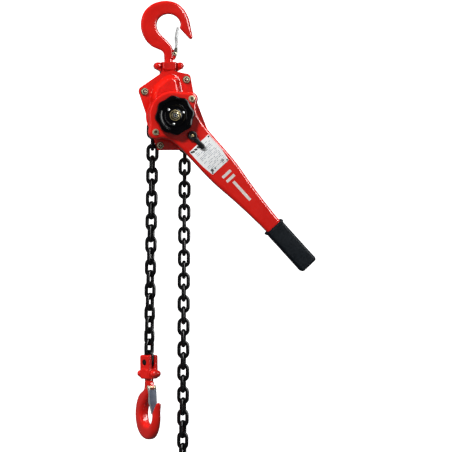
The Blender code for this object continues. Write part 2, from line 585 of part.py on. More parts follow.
# ---------------------------------------------------------------- handwheel
wheel_pts = []
for i in range(32):
    a = 98.0 + 360.0 / 32 * i
    wheel_pts.append((AXIS_X + (WHEEL_R - 1.4 + 1.4 * math.cos(math.radians((a - 98.0) * 8))) * math.cos(math.radians(a)),
                      AXIS_Z + (WHEEL_R - 1.4 + 1.4 * math.cos(math.radians((a - 98.0) * 8))) * math.sin(math.radians(a))))
wheel = outline("handwheel", wheel_pts, WHEEL_Y0, WHEEL_Y1, PLASTIC, bevel=1.5)
boolean(wheel, solid("handwheel_dish", lambda bm: cyl(bm, 30.0, WHEEL_Y0 - 2, WHEEL_Y0 + 4, AXIS_X, AXIS_Z, 20), cut=True))
boolean(wheel, solid("handwheel_back", lambda bm: cyl(bm, 34.0, WHEEL_Y1 - 14, WHEEL_Y1 + 2, AXIS_X, AXIS_Z, 20), cut=True))
boolean(wheel, solid("handwheel_hub", lambda bm: cyl(bm, 12.0, WHEEL_Y1 - 15, WHEEL_Y1 + 2.5, AXIS_X, AXIS_Z, 16), cut=True), "UNION")
boolean(wheel, solid("handwheel_bore", lambda bm: cyl(bm, 6.4, -110, -60, AXIS_X, AXIS_Z, 16), cut=True))
nut = solid("handwheel_nut", lambda bm: cyl(bm, 11.4, -95.6, -94.3, AXIS_X, AXIS_Z, 16), ZINC)
boolean(nut, solid("handwheel_nut_hex", lambda bm: cyl(bm, 8.0, -98.4, -95.0, AXIS_X, AXIS_Z, 6), cut=True), "UNION")
boolean(nut, solid("handwheel_nut_bore", lambda bm: cyl(bm, 2.2, -99.0, -96.0, AXIS_X, AXIS_Z, 10), cut=True))
boolean(nut, solid("handwheel_nut_socket", lambda bm: cyl(bm, 6.3, -96.5, -90.0, AXIS_X, AXIS_Z, 16), cut=True))


# ---------------------------------------------------------------- chain
def link_curve(squeeze=0.0):
    """Centre line of one link in the XZ plane, as a closed path."""
    pts = []
    straight = LINK_L - LINK_W - squeeze
    for s in (1, -1):
        for k in range(5):
            t = math.radians(45.0 * k)
            pts.append((s * LINK_W * math.cos(t), s * (straight + LINK_W * math.sin(t))))
    return pts


def add_links(name, places, mat=BLACK, parent=None, squeeze=0.55, wire=WIRE):
    """Links at places (Matrix), odd and even ones in two meshes joined by a union where they hook together."""
    cu = bpy.data.curves.new(name + "_path", "CURVE")
    cu.dimensions = "3D"
    cu.bevel_depth = wire * MM
    cu.bevel_resolution = 0
    cu.use_fill_caps = False
    pts = link_curve(squeeze)
    sp = cu.splines.new("POLY")
    sp.points.add(len(pts) - 1)
    for p, (x, z) in zip(sp.points, pts):
        p.co = (x * MM, 0, z * MM, 1)
    sp.use_cyclic_u = True
    co = bpy.data.objects.new(name + "_path", cu)
    bpy.context.scene.collection.objects.link(co)
    dg = bpy.context.evaluated_depsgraph_get()
    dg.update()
    me = bpy.data.meshes.new_from_object(co.evaluated_get(dg))
    bpy.data.objects.remove(co)
    halves = []
    for k in (0, 1):
        bm = bmesh.new()
        for m in places[k::2]:
            tmp = me.copy()
            tmp.transform(m)
            bm.from_mesh(tmp)
            bpy.data.meshes.remove(tmp)
        if len(places[k::2]):
            halves.append(put(name if k == 0 else name + "_between", bm, mat, parent, cut=(k == 1)))
    if len(halves) == 2:
        boolean(halves[0], halves[1], "UNION")
    return halves[0]


def strand_place(z, yaw):
    return Matrix.Translation((0, 0, z * MM)) @ Matrix.Rotation(math.radians(yaw), 4, "Z")


def twist(points, z):
    """Turn about the strand at height z, linear between (z, degrees) points that run downwards."""
    if z >= points[0][0]:
        return points[0][1]
    for (z0, a0), (z1, a1) in zip(points, points[1:]):
        if z >= z1:
            return a0 + (a1 - a0) * (z - z0) / (z1 - z0)
    return points[-1][1]


LOAD_TWIST = [(-240.0, -3.0), (-317.0, -22.5), (-555.0, -36.0), (-690.0, -49.5), (-715.0, LOW_YAW)]
TAIL_TWIST = [(-240.0, -4.0), (-270.0, -9.0), (-460.0, -9.0), (-770.0, -23.0), (-880.0, -34.0)]

load_line = group("load_strand_line", AXIS_X - SHEAVE_R, 0, AXIS_Z, (0, LOAD_LEAN, 0))
tail_line = group("tail_strand_line", AXIS_X + SHEAVE_R, 0, AXIS_Z, (0, TAIL_LEAN, 0))


def strand(prefix, line, first_z, count, turns, first_flat):
    """First link alone, for the swing joint, then the rest of the strand as one piece."""
    places = []
    for i in range(count):
        z = first_z - PITCH * i
        flat = (i % 2 == 0) == first_flat
        places.append(strand_place(z - AXIS_Z, twist(turns, z) + (90.0 if flat else 0.0)))
    add_links(prefix + "_top_link", places[:1], BLACK, line, squeeze=-1.3)
    add_links(prefix, places[1:], BLACK, line)
    return places


strand("load_chain", load_line, LOAD_FIRST_Z, LOAD_LINKS, LOAD_TWIST, True)
strand("tail_chain", tail_line, TAIL_FIRST_Z, TAIL_LINKS, TAIL_TWIST, False)

wrap = []
for i in range(3):
    a = math.radians(180 + 11.5 - 41.4 * (i + 1))
    m = (Matrix.Translation(((AXIS_X + SHEAVE_R * math.cos(a)) * MM, 0, (AXIS_Z + SHEAVE_R * math.sin(a)) * MM))
         @ Matrix.Rotation(-a, 4, "Y") @ Matrix.Rotation(math.radians(90.0 if i % 2 == 1 else 0.0), 4, "Z"))
    wrap.append(m)
add_links("sheave_chain", wrap, BLACK, None, squeeze=1.2, wire=3.1)

# ---------------------------------------------------------------- lower yoke and hook, in the load strand's line
LOW_PIN = -725.8 - AXIS_Z
LOW_BASE = -760.0 - AXIS_Z
low = group("bottom_yoke_frame", 0, 0, LOW_PIN, (0, LOW_SWING, LOW_YAW), load_line)
DZ = LOW_BASE - LOW_PIN
LOW_OUT = ([(-13.8, 15.5), (-13.8, DZ + 19.0), (-17.0, DZ + 17.4)] + arc(-LOW_LOBE_X, DZ + 10.5, 7.2, 110, 268, 6)
           + [(-14.5, DZ), (14.5, DZ)] + arc(LOW_LOBE_X, DZ + 10.5, 7.2, -88, 70, 6) + [(17.0, DZ + 17.4), (13.8, DZ + 19.0), (13.8, 15.5)])


def low_half(name, s):
    y = sorted((0.2 * s, 8.6 * s))
    o = outline(name, LOW_OUT, y[0], y[1], RED, low)
    y = sorted((4.0 * s, 13.7 * s))
    boss = outline(name + "_boss", [(-13.8, DZ), (13.8, DZ), (13.8, 15.5), (-13.8, 15.5)], y[0], y[1], None, low, cut=True, bevel=2.2)
    boolean(o, boss, "UNION")
    y = sorted((7.0 * s, 15.6 * s))
    boss2 = outline(name + "_belly", [(-12.0, DZ), (12.0, DZ), (12.0, DZ + 18), (8.0, DZ + 21), (-8.0, DZ + 21), (-12.0, DZ + 18)], y[0], y[1], None, low, cut=True, bevel=3.0)
    boolean(o, boss2, "UNION")
    boolean(o, solid(name + "_slot", lambda bm: box(bm, -40, 40, -4.7, 4.7, -12.8, 30), None, low, cut=True))
    boolean(o, solid(name + "_notch", lambda bm: box(bm, -8.2, 8.2, -10.4, 10.4, 9.6, 30), None, low, cut=True))
    boolean(o, solid(name + "_pinbore", lambda bm: cyl(bm, 4.4, -30, 30, 0, 0, 16), None, low, cut=True))
    y = sorted((9.2 * s, 30.0 * s))
    boolean(o, solid(name + "_pinseat", lambda bm: cyl(bm, 6.2, y[0], y[1], 0, 0, 16), None, low, cut=True))
    boolean(o, solid(name + "_throat", lambda bm: zcyl(bm, 9.6, DZ - 5, DZ + 9, seg=14), None, low, cut=True))
    boolean(o, solid(name + "_cavity", lambda bm: zcyl(bm, 13.1, DZ + 7, DZ + 17, seg=14), None, low, cut=True))
    for sx in (-1, 1):
        boolean(o, solid(f"{name}_rivet{sx}", lambda bm: cyl(bm, 4.3, -30, 30, sx * LOW_LOBE_X, DZ + 10.5, 12), None, low, cut=True))
    return o


low_half("bottom_yoke_front", -1)
low_half("bottom_yoke_rear", 1)
rivet("bottom_yoke_bolt_left", -LOW_LOBE_X, DZ + 10.5, 8.6, low)
rivet("bottom_yoke_bolt_right", LOW_LOBE_X, DZ + 10.5, 8.6, low)
pin = solid("chain_pin", lambda bm: cyl(bm, 4.0, -12.0, 12.0, 0, 0, 16), BLACK, low)
for s in (-1, 1):
    boolean(pin, solid(f"chain_pin_head{s}", lambda bm: cyl(bm, 5.9, 9.5 * s, 14.2 * s, 0, 0, 16, r2=5.1), None, low, cut=True), "UNION")

low_hook = group("bottom_hook_frame", 0, 0, DZ + YOKE_TOP, (180, 0, LOW_HOOK_YAW - LOW_YAW), low)
hook("bottom_hook", low_hook)
latch("bottom_latch", low_hook)
latch_pin("bottom_latch_pin", low_hook)
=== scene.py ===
import math

import bmesh
import bpy
import numpy as np
from mathutils import Matrix, Vector, noise


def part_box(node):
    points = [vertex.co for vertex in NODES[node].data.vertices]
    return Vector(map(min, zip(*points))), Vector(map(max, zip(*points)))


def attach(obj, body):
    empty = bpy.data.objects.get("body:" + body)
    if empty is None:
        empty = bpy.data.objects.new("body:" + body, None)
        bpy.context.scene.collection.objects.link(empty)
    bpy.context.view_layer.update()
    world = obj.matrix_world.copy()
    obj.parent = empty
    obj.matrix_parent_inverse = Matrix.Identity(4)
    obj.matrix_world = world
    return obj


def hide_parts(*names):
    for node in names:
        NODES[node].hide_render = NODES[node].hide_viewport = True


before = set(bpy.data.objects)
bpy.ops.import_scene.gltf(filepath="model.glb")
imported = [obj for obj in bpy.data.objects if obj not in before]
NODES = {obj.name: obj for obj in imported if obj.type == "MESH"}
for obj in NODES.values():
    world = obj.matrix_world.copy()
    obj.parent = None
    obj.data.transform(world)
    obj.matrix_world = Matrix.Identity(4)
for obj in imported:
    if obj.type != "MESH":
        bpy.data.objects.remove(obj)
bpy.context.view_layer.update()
MM = 0.001
SC = bpy.context.scene

# the drive axis and other places, in millimetres
_lo, _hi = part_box("drive_shaft")
AXIS_X, AXIS_Z = 1.0, -212.0
LEVER_ANGLE = -47.5
LOBE_X = 23.3
PIN_Z = -134.0
PITCH, WIRE, LINK_W, LINK_L = 23.9, 4.0, 9.3, 16.0
SHEAVE_R = 33.5
LOAD_LEAN, TAIL_LEAN = 1.06, 0.45


# ------------------------------------------------------------------ materials
def new_mat(name):
    m = bpy.data.materials.new(name)
    m.use_nodes = True
    nt = m.node_tree
    b = nt.nodes["Principled BSDF"]
    tc = nt.nodes.new("ShaderNodeTexCoord")
    return m, nt, b, tc


def add(nt, kind, **kw):
    n = nt.nodes.new(kind)
    for k, v in kw.items():
        if k in n.inputs:
            n.inputs[k].default_value = v
        else:
            setattr(n, k, v)
    return n


def noise_tex(nt, tc, scale, detail=3.0, rough=0.55, stretch=None):
    t = add(nt, "ShaderNodeTexNoise")
    t.inputs["Scale"].default_value = scale
    t.inputs["Detail"].default_value = detail
    t.inputs["Roughness"].default_value = rough
    if stretch:
        mp = add(nt, "ShaderNodeMapping")
        mp.inputs["Scale"].default_value = stretch
        nt.links.new(tc.outputs["Object"], mp.inputs["Vector"])
        nt.links.new(mp.outputs["Vector"], t.inputs["Vector"])
    else:
        nt.links.new(tc.outputs["Object"], t.inputs["Vector"])
    return t


def ramp(nt, src, stops, interp="LINEAR"):
    r = add(nt, "ShaderNodeValToRGB")
    r.color_ramp.interpolation = interp
    el = r.color_ramp.elements
    while len(el) < len(stops):
        el.new(0.5)
    for e, (p, c) in zip(el, stops):
        e.position = p
        e.color = (*c, 1) if len(c) == 3 else c
    nt.links.new(src, r.inputs["Fac"])
    return r


def to_range(nt, src, lo, hi, f0=0.3, f1=0.7):
    r = add(nt, "ShaderNodeMapRange")
    r.inputs["From Min"].default_value = f0
    r.inputs["From Max"].default_value = f1
    r.inputs["To Min"].default_value = lo
    r.inputs["To Max"].default_value = hi
    nt.links.new(src, r.inputs["Value"])
    return r


def bump(nt, b, src, strength, dist, prev=None):
    k = add(nt, "ShaderNodeBump")
    k.inputs["Strength"].default_value = strength
    k.inputs["Distance"].default_value = dist
    nt.links.new(src, k.inputs["Height"])
    if prev:
        nt.links.new(prev.outputs["Normal"], k.inputs["Normal"])
    nt.links.new(k.outputs["Normal"], b.inputs["Normal"])
    return k


def enamel(name, base, deep, peel=0.05, rough=(0.20, 0.30), coat=0.6, cast=0.0):
    """Sprayed gloss enamel: slow colour drift, orange peel, fine dust nibs, and a faint casting texture below."""
    m, nt, b, tc = new_mat(name)
    big = noise_tex(nt, tc, 22.0, 4.0)
    col = ramp(nt, big.outputs["Fac"], [(0.30, deep), (0.62, base)])
    fine = noise_tex(nt, tc, 900.0, 2.0)
    nib = ramp(nt, fine.outputs["Fac"], [(0.0, (0.9, 0.9, 0.9)), (0.72, (1.0, 1.0, 1.0)), (0.8, (0.82, 0.8, 0.8))])
    mul = add(nt, "ShaderNodeMix", data_type="RGBA", blend_type="MULTIPLY")
    mul.inputs[0].default_value = 1.0
    nt.links.new(col.outputs["Color"], mul.inputs[6])
    nt.links.new(nib.outputs["Color"], mul.inputs[7])
    nt.links.new(mul.outputs[2], b.inputs["Base Color"])
    rr = to_range(nt, big.outputs["Fac"], rough[0], rough[1])
    nt.links.new(rr.outputs["Result"], b.inputs["Roughness"])
    p = noise_tex(nt, tc, 420.0, 1.0)
    k = bump(nt, b, p.outputs["Fac"], peel, 0.0004)
    if cast:
        c = noise_tex(nt, tc, 150.0, 3.0)
        bump(nt, b, c.outputs["Fac"], cast, 0.0007, k)
    b.inputs["Coat Weight"].default_value = coat
    b.inputs["Coat Roughness"].default_value = 0.06
    b.inputs["Specular IOR Level"].default_value = 0.3
    return m


def oxide(name, base, worn, rough=(0.36, 0.56), spec=0.32, metal=0.0, grain=260.0, depth=0.12):
    """Blackened forged steel: near black, with rubbed grey spots and a fine scale texture."""
    m, nt, b, tc = new_mat(name)
    n1 = noise_tex(nt, tc, 90.0, 4.0, 0.6)
    col = ramp(nt, n1.outputs["Fac"], [(0.35, base), (0.62, tuple(c * 1.7 for c in base)), (0.78, worn)])
    nt.links.new(col.outputs["Color"], b.inputs["Base Color"])
    rr = to_range(nt, n1.outputs["Fac"], rough[0], rough[1])
    nt.links.new(rr.outputs["Result"], b.inputs["Roughness"])
    n2 = noise_tex(nt, tc, grain, 3.0, 0.6)
    bump(nt, b, n2.outputs["Fac"], depth, 0.0005)
    b.inputs["Metallic"].default_value = metal
    b.inputs["Specular IOR Level"].default_value = spec
    return m


def plated(name, stops, rough=(0.24, 0.4), metal=0.92, scale=70.0, brush=None, depth=0.05):
    """Plated steel with the cloudy tints of its passivation."""
    m, nt, b, tc = new_mat(name)
    n1 = noise_tex(nt, tc, scale, 3.0, 0.6)
    col = ramp(nt, n1.outputs["Fac"], stops)
    nt.links.new(col.outputs["Color"], b.inputs["Base Color"])
    n2 = noise_tex(nt, tc, 500.0, 2.0, 0.6, brush)
    rr = to_range(nt, n2.outputs["Fac"], rough[0], rough[1])
    nt.links.new(rr.outputs["Result"], b.inputs["Roughness"])
    bump(nt, b, n2.outputs["Fac"], depth, 0.0003)
    b.inputs["Metallic"].default_value = metal
    return m


def moulded(name, base, light, rough=(0.3, 0.42), spec=0.4, grain=800.0, depth=0.08, coat=0.0, coarse=60.0):
    """Moulded plastic or rubber with a fine surface grain."""
    m, nt, b, tc = new_mat(name)
    n1 = noise_tex(nt, tc, coarse, 3.0)
    col = ramp(nt, n1.outputs["Fac"], [(0.3, base), (0.7, light)])
    nt.links.new(col.outputs["Color"], b.inputs["Base Color"])
    n2 = noise_tex(nt, tc, grain, 2.0)
    rr = to_range(nt, n1.outputs["Fac"], rough[0], rough[1])
    nt.links.new(rr.outputs["Result"], b.inputs["Roughness"])
    bump(nt, b, n2.outputs["Fac"], depth, 0.0003)
    b.inputs["Specular IOR Level"].default_value = spec
    b.inputs["Coat Weight"].default_value = coat
    b.inputs["Coat Roughness"].default_value = 0.1
    return m


RED = enamel("red_enamel_gloss", (0.80, 0.0125, 0.0065), (0.69, 0.0075, 0.0042), rough=(0.16, 0.24), coat=0.3)
RED_CAST = enamel("red_enamel_on_forging", (0.76, 0.0125, 0.0075), (0.61, 0.0075, 0.0048), peel=0.05, rough=(0.18, 0.28), coat=0.3, cast=0.10)
BLACK = oxide("chain_black", (0.0022, 0.0022, 0.0026), (0.02, 0.02, 0.021), rough=(0.2, 0.32), spec=0.26)
# black steel for pins, the guide block and rivets; also used as painted shade in nut bores, the handwheel washer groove
# and the shaft-end bore
DARK_AND_PAINTED_SHADE = oxide("pin_black_and_painted_shade", (0.006, 0.005, 0.005), (0.03, 0.027, 0.024), rough=(0.4, 0.6), spec=0.2)
WHEEL = moulded("handwheel_gloss_black", (0.0012, 0.0012, 0.0018), (0.0022, 0.0022, 0.0030), rough=(0.10, 0.16), spec=0.12, grain=300.0, depth=0.02, coat=0.0)
KNOB = moulded("selector_satin_black", (0.005, 0.005, 0.006), (0.010, 0.010, 0.011), rough=(0.3, 0.42), spec=0.2, grain=700.0)
RUBBER = moulded("grip_rubber", (0.0045, 0.0068, 0.0092), (0.0070, 0.0095, 0.0125), rough=(0.45, 0.58), spec=0.07, grain=1100.0, depth=0.14)
ZINC = plated("zinc_yellow", [(0.25, (0.50, 0.44, 0.22)), (0.45, (0.86, 0.80, 0.56)), (0.6, (0.82, 0.77, 0.54)), (0.78, (0.80, 0.60, 0.46))], scale=150.0, rough=(0.2, 0.32), metal=0.5)
# dark copy of the zinc plating: painted shade under the stay nuts and in the recessed middles of the lever bolts
ZINC_PAINTED_SHADE = plated("zinc_olive_shadow", [(0.3, (0.07, 0.055, 0.03)), (0.55, (0.15, 0.12, 0.06)), (0.8, (0.10, 0.07, 0.04))], scale=140.0, rough=(0.3, 0.45), metal=0.6)
# darker copy of the red enamel, used only as painted shade in the top yoke's rivet slots
RED_PAINTED_SHADE = enamel("red_enamel_painted_crease_shade", (0.42, 0.006, 0.004), (0.30, 0.004, 0.003), rough=(0.4, 0.5), coat=0.0)
ZINC_NUT = plated("zinc_dull", [(0.3, (0.42, 0.36, 0.21)), (0.55, (0.64, 0.58, 0.40)), (0.8, (0.48, 0.38, 0.25))], scale=140.0, rough=(0.3, 0.45), metal=0.5)
OLIVE_MID = plated("zinc_olive_ring", [(0.3, (0.20, 0.16, 0.07)), (0.55, (0.34, 0.28, 0.14)), (0.8, (0.24, 0.17, 0.09))], scale=140.0, rough=(0.3, 0.45), metal=0.8)
ZINC_DEEP = plated("zinc_deep_gold", [(0.3, (0.30, 0.24, 0.12)), (0.55, (0.48, 0.41, 0.24)), (0.8, (0.34, 0.26, 0.15))], scale=140.0, rough=(0.3, 0.45))
STEEL = plated("machined_steel", [(0.3, (0.42, 0.43, 0.45)), (0.7, (0.58, 0.59, 0.61))], rough=(0.25, 0.42))
BRIGHT = plated("bright_rivet", [(0.3, (0.46, 0.48, 0.48)), (0.7, (0.62, 0.63, 0.63))], rough=(0.22, 0.34))
SHEET = plated("latch_sheet_zinc", [(0.3, (0.05, 0.068, 0.105)), (0.55, (0.08, 0.105, 0.155)), (0.8, (0.13, 0.16, 0.22))], rough=(0.42, 0.55), scale=60.0, brush=(1, 1, 6), metal=0.0)
SHEET.node_tree.nodes["Principled BSDF"].inputs["Specular IOR Level"].default_value = 0.18
# lighter copy of the latch sheet: painted highlight on its folded sides and on the lower latch's ears
SHEET_PAINTED_HIGHLIGHT = plated("latch_sheet_painted_highlight", [(0.3, (0.38, 0.39, 0.39)), (0.7, (0.54, 0.55, 0.55))], rough=(0.34, 0.5), metal=0.5, scale=80.0)
# darker copy of the latch sheet: painted shade on the upper latch's ears
SHEET_PAINTED_SHADE = plated("latch_sheet_painted_shade", [(0.3, (0.20, 0.19, 0.16)), (0.6, (0.30, 0.29, 0.25)), (0.8, (0.24, 0.20, 0.16))], rough=(0.32, 0.46), scale=120.0)
SPRING = plated("spring_zinc_yellow", [(0.3, (0.46, 0.52, 0.30)), (0.5, (0.70, 0.66, 0.40)), (0.75, (0.58, 0.70, 0.50))], scale=260.0)
BRASS = plated("brass_screw", [(0.3, (0.62, 0.46, 0.20)), (0.7, (0.82, 0.66, 0.34))], scale=200.0)
LINING = oxide("friction_lining", (0.10, 0.08, 0.06), (0.2, 0.17, 0.13), rough=(0.7, 0.9), spec=0.2)
PLATE = moulded("plate_white", (0.94, 0.95, 0.95), (0.97, 0.98, 0.98), rough=(0.3, 0.42), spec=0.45, grain=200.0, depth=0.02, coarse=35.0)
INK_GREY = moulded("plate_ink_grey", (0.18, 0.21, 0.25), (0.30, 0.34, 0.38), rough=(0.45, 0.55), grain=900.0, depth=0.05)
INK_DARK = moulded("plate_ink_dark", (0.02, 0.022, 0.022), (0.05, 0.05, 0.05), rough=(0.45, 0.55), grain=900.0, depth=0.05)
STRIPE = moulded("lever_stripe_white", (0.72, 0.66, 0.63), (0.80, 0.75, 0.72), rough=(0.35, 0.45), grain=700.0, depth=0.04)


# ------------------------------------------------------------------ shapes
def piece(name, me, mat, body, replaces=(), angle=40.0):
    o = bpy.data.objects.new(name, me)
    SC.collection.objects.link(o)
    me.materials.clear()
    me.materials.append(mat)
    me.shade_smooth()
    me.set_sharp_from_angle(angle=math.radians(angle))
    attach(o, body)
    if replaces:
        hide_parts(*replaces)
    return o


def bm_mesh(name, bm):
    bmesh.ops.remove_doubles(bm, verts=bm.verts, dist=1e-7)
    bmesh.ops.recalc_face_normals(bm, faces=bm.faces)
    me = bpy.data.meshes.new(name)
    bm.to_mesh(me)
    bm.free()
    return me


def arc(cx, cz, r, a0, a1, n):
    return [(cx + r * math.cos(math.radians(a0 + (a1 - a0) * i / n)), cz + r * math.sin(math.radians(a0 + (a1 - a0) * i / n)))
            for i in range(n + 1)]


def rounded(corners, n=10):
    """A polygon whose corners (x, z, radius) are rounded."""
    out = []
    k = len(corners)
    for i, (x, z, r) in enumerate(corners):
        p = Vector((x, z))
        if r <= 0:
            out.append((x, z))
            continue
        a = (Vector(corners[i - 1][:2]) - p).normalized()
        b = (Vector(corners[(i + 1) % k][:2]) - p).normalized()
        half = a.angle(b) / 2
        d = r / math.tan(half)
        c = p + (a + b).normalized() * (r / math.sin(half))
        s, e = p + a * d - c, p + b * d - c
        a0, a1 = math.atan2(s.y, s.x), math.atan2(e.y, e.x)
        turn = (a1 - a0 + math.pi) % (2 * math.pi) - math.pi
        out += [(c.x + r * math.cos(a0 + turn * j / n), c.y + r * math.sin(a0 + turn * j / n)) for j in range(n + 1)]
    return out


def resample(pts, n, closed=True):
    """n points at equal spacing along a path."""
    p = np.array(pts, float)
    if closed:
        p = np.vstack([p, p[:1]])
    s = np.concatenate([[0], np.cumsum(np.linalg.norm(np.diff(p, axis=0), axis=1))])
    t = np.linspace(0, s[-1], n + 1)[:-1] if closed else np.linspace(0, s[-1], n)
    return np.stack([np.interp(t, s, p[:, k]) for k in range(p.shape[1])], 1)


def smooth_ring(p, times):
    for _ in range(times):
        p = 0.5 * p + 0.25 * (np.roll(p, 1, 0) + np.roll(p, -1, 0))
    return p


def normals2(p):
    t = np.roll(p, -1, 0) - np.roll(p, 1, 0)
    t /= np.linalg.norm(t, axis=1)[:, None]
    n = np.stack([t[:, 1], -t[:, 0]], 1)
    area = 0.5 * np.sum(p[:, 0] * np.roll(p[:, 1], -1) - np.roll(p[:, 0], -1) * p[:, 1])
    return n if area > 0 else -n


def curve_plate(name, outer, y0, y1, bevel=0.8, holes=(), res=3, place=None):
    """A flat plate with rounded edges in the XZ plane: outline and holes as a filled curve, given its thickness and edge radius."""
    cu = bpy.data.curves.new(name + "_c", "CURVE")
    cu.dimensions = "2D"
    cu.fill_mode = "BOTH"
    cu.extrude = ((y1 - y0) / 2 - bevel) * MM
    cu.bevel_depth = bevel * MM
    cu.bevel_resolution = res
    cu.offset = -bevel * MM
    for pts in [outer, *holes]:
        sp = cu.splines.new("POLY")
        sp.points.add(len(pts) - 1)
        for p, (x, z) in zip(sp.points, pts):
            p.co = (x * MM, z * MM, 0, 1)
        sp.use_cyclic_u = True
    co = bpy.data.objects.new(name + "_c", cu)
    SC.collection.objects.link(co)
    co.rotation_euler = (math.radians(90), 0, 0)
    co.location = (0, (y0 + y1) / 2 * MM, 0)
    dg = bpy.context.evaluated_depsgraph_get()
    dg.update()
    me = bpy.data.meshes.new_from_object(co.evaluated_get(dg))
    me.transform(co.matrix_world)
    bpy.data.objects.remove(co)
    if place is not None:
        me.transform(place)
    bm = bmesh.new()
    bm.from_mesh(me)
    bmesh.ops.remove_doubles(bm, verts=bm.verts, dist=1e-6)
    bmesh.ops.recalc_face_normals(bm, faces=bm.faces)
    bm.to_mesh(me)
    bm.free()
    return me


def loft_mesh(name, rings, cap=(True, True)):
    bm = bmesh.new()
    vs = [[bm.verts.new(Vector(p) * MM) for p in ring] for ring in rings]
    n = len(vs[0])
    for a, b in zip(vs, vs[1:]):
        for i in range(n):
            bm.faces.new((a[i], a[(i + 1) % n], b[(i + 1) % n], b[i]))
    for want, ring, d in ((cap[0], vs[0], -1), (cap[1], vs[-1], 1)):
        if want:
            c = bm.verts.new(sum((v.co for v in ring), Vector()) / n)
            for i in range(n):
                bm.faces.new((ring[i], ring[(i + 1) % n], c)[::d])
    return bm_mesh(name, bm)


def lathe(name, profile, x, z, seg=48, lobes=None):
    """Turned part about an axis along Y: profile of (radius, y), closed on itself if it does not start and end at radius 0."""
    bm = bmesh.new()
    closed = profile[0][0] > 1e-6 or profile[-1][0] > 1e-6
    rings = []
    for r, y in profile:
        if r < 1e-6:
            rings.append([bm.verts.new((x * MM, y * MM, z * MM))])
        else:
            ring = []
            for i in range(seg):
                t = 2 * math.pi * i / seg
                rr = r if lobes is None else lobes(r, t)
                ring.append(bm.verts.new(((x + rr * math.cos(t)) * MM, y * MM, (z + rr * math.sin(t)) * MM)))
            rings.append(ring)
    pairs = list(zip(rings, rings[1:]))
    if closed:
        pairs.append((rings[-1], rings[0]))
    for a, b in pairs:
        if len(a) == 1 and len(b) == 1:
            continue
        for i in range(seg):
            j = (i + 1) % seg
            if len(a) == 1:
                bm.faces.new((a[0], b[j], b[i]))
            elif len(b) == 1:
                bm.faces.new((a[i], a[j], b[0]))
            else:
                bm.faces.new((a[i], a[j], b[j], b[i]))
    return bm_mesh(name, bm)


def fillet(points, n=4):
    """A profile of (r, y, radius) corners turned into (r, y) points with rounded corners."""
    out = []
    for i, p in enumerate(points):
        rad = p[2] if len(p) > 2 else 0
        if rad <= 0 or i in (0, len(points) - 1):
            out.append((p[0], p[1]))
            continue
        q = Vector(p[:2])
        a, b = Vector(points[i - 1][:2]) - q, Vector(points[i + 1][:2]) - q
        la, lb = a.length, b.length
        a.normalize()
        b.normalize()
        ang = a.angle(b)
        d = min(rad / math.tan(ang / 2), la * 0.48, lb * 0.48)
        for j in range(n + 1):
            t = j / n
            out.append(tuple((q + a * d) * (1 - t) ** 2 + q * 2 * t * (1 - t) + (q + b * d) * t ** 2))
    return out


def tube(name, path, radius, closed=True, seg=12, up=Vector((0, 1, 0)), flat=1.0):
    """A round wire along a planar or gently turning path."""
    p = [Vector(q) for q in path]
    n = len(p)
    bm = bmesh.new()
    rings = []
    normal = None
    for i in range(n):
        a = p[i - 1] if (closed or i > 0) else p[i]
        b = p[(i + 1) % n] if (closed or i < n - 1) else p[i]
        t = (b - a).normalized()
        if normal is None:
            normal = (up - t * up.dot(t)).normalized()
        normal = (normal - t * normal.dot(t)).normalized()
        side = t.cross(normal)
        rings.append([bm.verts.new((p[i] + (normal * math.cos(w) * flat + side * math.sin(w)) * radius) * MM)
                      for w in (2 * math.pi * k / seg for k in range(seg))])
    for i in range(n if closed else n - 1):
        a, b = rings[i], rings[(i + 1) % n]
        for k in range(seg):
            bm.faces.new((a[k], a[(k + 1) % seg], b[(k + 1) % seg], b[k]))
    if not closed:
        for ring, d in ((rings[0], -1), (rings[-1], 1)):
            bm.faces.new(ring[::d])
    return bm_mesh(name, bm)


def join(name, meshes):
    bm = bmesh.new()
    for me in meshes:
        bm.from_mesh(me)
    out = bpy.data.meshes.new(name)
    bm.to_mesh(out)
    bm.free()
    return out


def evaluated(me, mods):
    """The mesh with modifiers applied; mods is a list of (type, settings)."""
    o = bpy.data.objects.new("scratch", me)
    SC.collection.objects.link(o)
    for kind, kw in mods:
        m = o.modifiers.new(kind.lower(), kind)
        for k, v in kw.items():
            setattr(m, k, v)
    dg = bpy.context.evaluated_depsgraph_get()
    dg.update()
    out = bpy.data.meshes.new_from_object(o.evaluated_get(dg))
    bpy.data.objects.remove(o)
    return out


def forged(me, voxel=0.8, times=6):
    """Fuses closed shells into one skin and rounds every edge, as a forging or casting has."""
    return evaluated(me, [("REMESH", dict(mode="VOXEL", voxel_size=voxel * MM, use_smooth_shade=True)),
                          ("SMOOTH", dict(factor=0.5, iterations=times))])


def cad_copy(node):
    return NODES[node].data.copy()


def hexnut(x, z, y0, y1, flat_r, bore, phase=16.0, chamfer=0.9, deep=0.25):
    """A hexagon nut along Y with chamfered corners and a bore; y0 is the outer face."""
    seg = 48
    d = 1 if y1 > y0 else -1
    corner = flat_r / math.cos(math.radians(30))

    def hexr(t):
        a = (math.degrees(t) - phase + 30) % 60 - 30
        return flat_r / math.cos(math.radians(a))
    rings = []
    for y, cut in ((y0 + deep * d, bore), (y0, bore + 0.4), (y0, flat_r * 0.93), (y0 + chamfer * d, None), (y1 - 0.3 * d, None), (y1, flat_r * 0.97)):
        ring = []
        for i in range(seg):
            t = 2 * math.pi * i / seg
            r = hexr(t) if cut is None else cut
            if cut is None and abs(y - (y0 + chamfer * d)) < 1e-6:
                r = min(r, flat_r * 1.09)
            ring.append((x + r * math.cos(t), y, z + r * math.sin(t)))
        rings.append(ring)
        if abs(y - (y0 + chamfer * d)) < 1e-6:
            ring2 = []
            for i in range(seg):
                t = 2 * math.pi * i / seg
                r = hexr(t)
                ring2.append((x + r * math.cos(t), y + d * 0.9 * (r - min(r, flat_r * 1.09)) / max(corner - flat_r * 1.09, 0.01) + d * 0.02, z + r * math.sin(t)))
            rings.append(ring2)
    return loft_mesh("nut", rings, cap=(True, True))


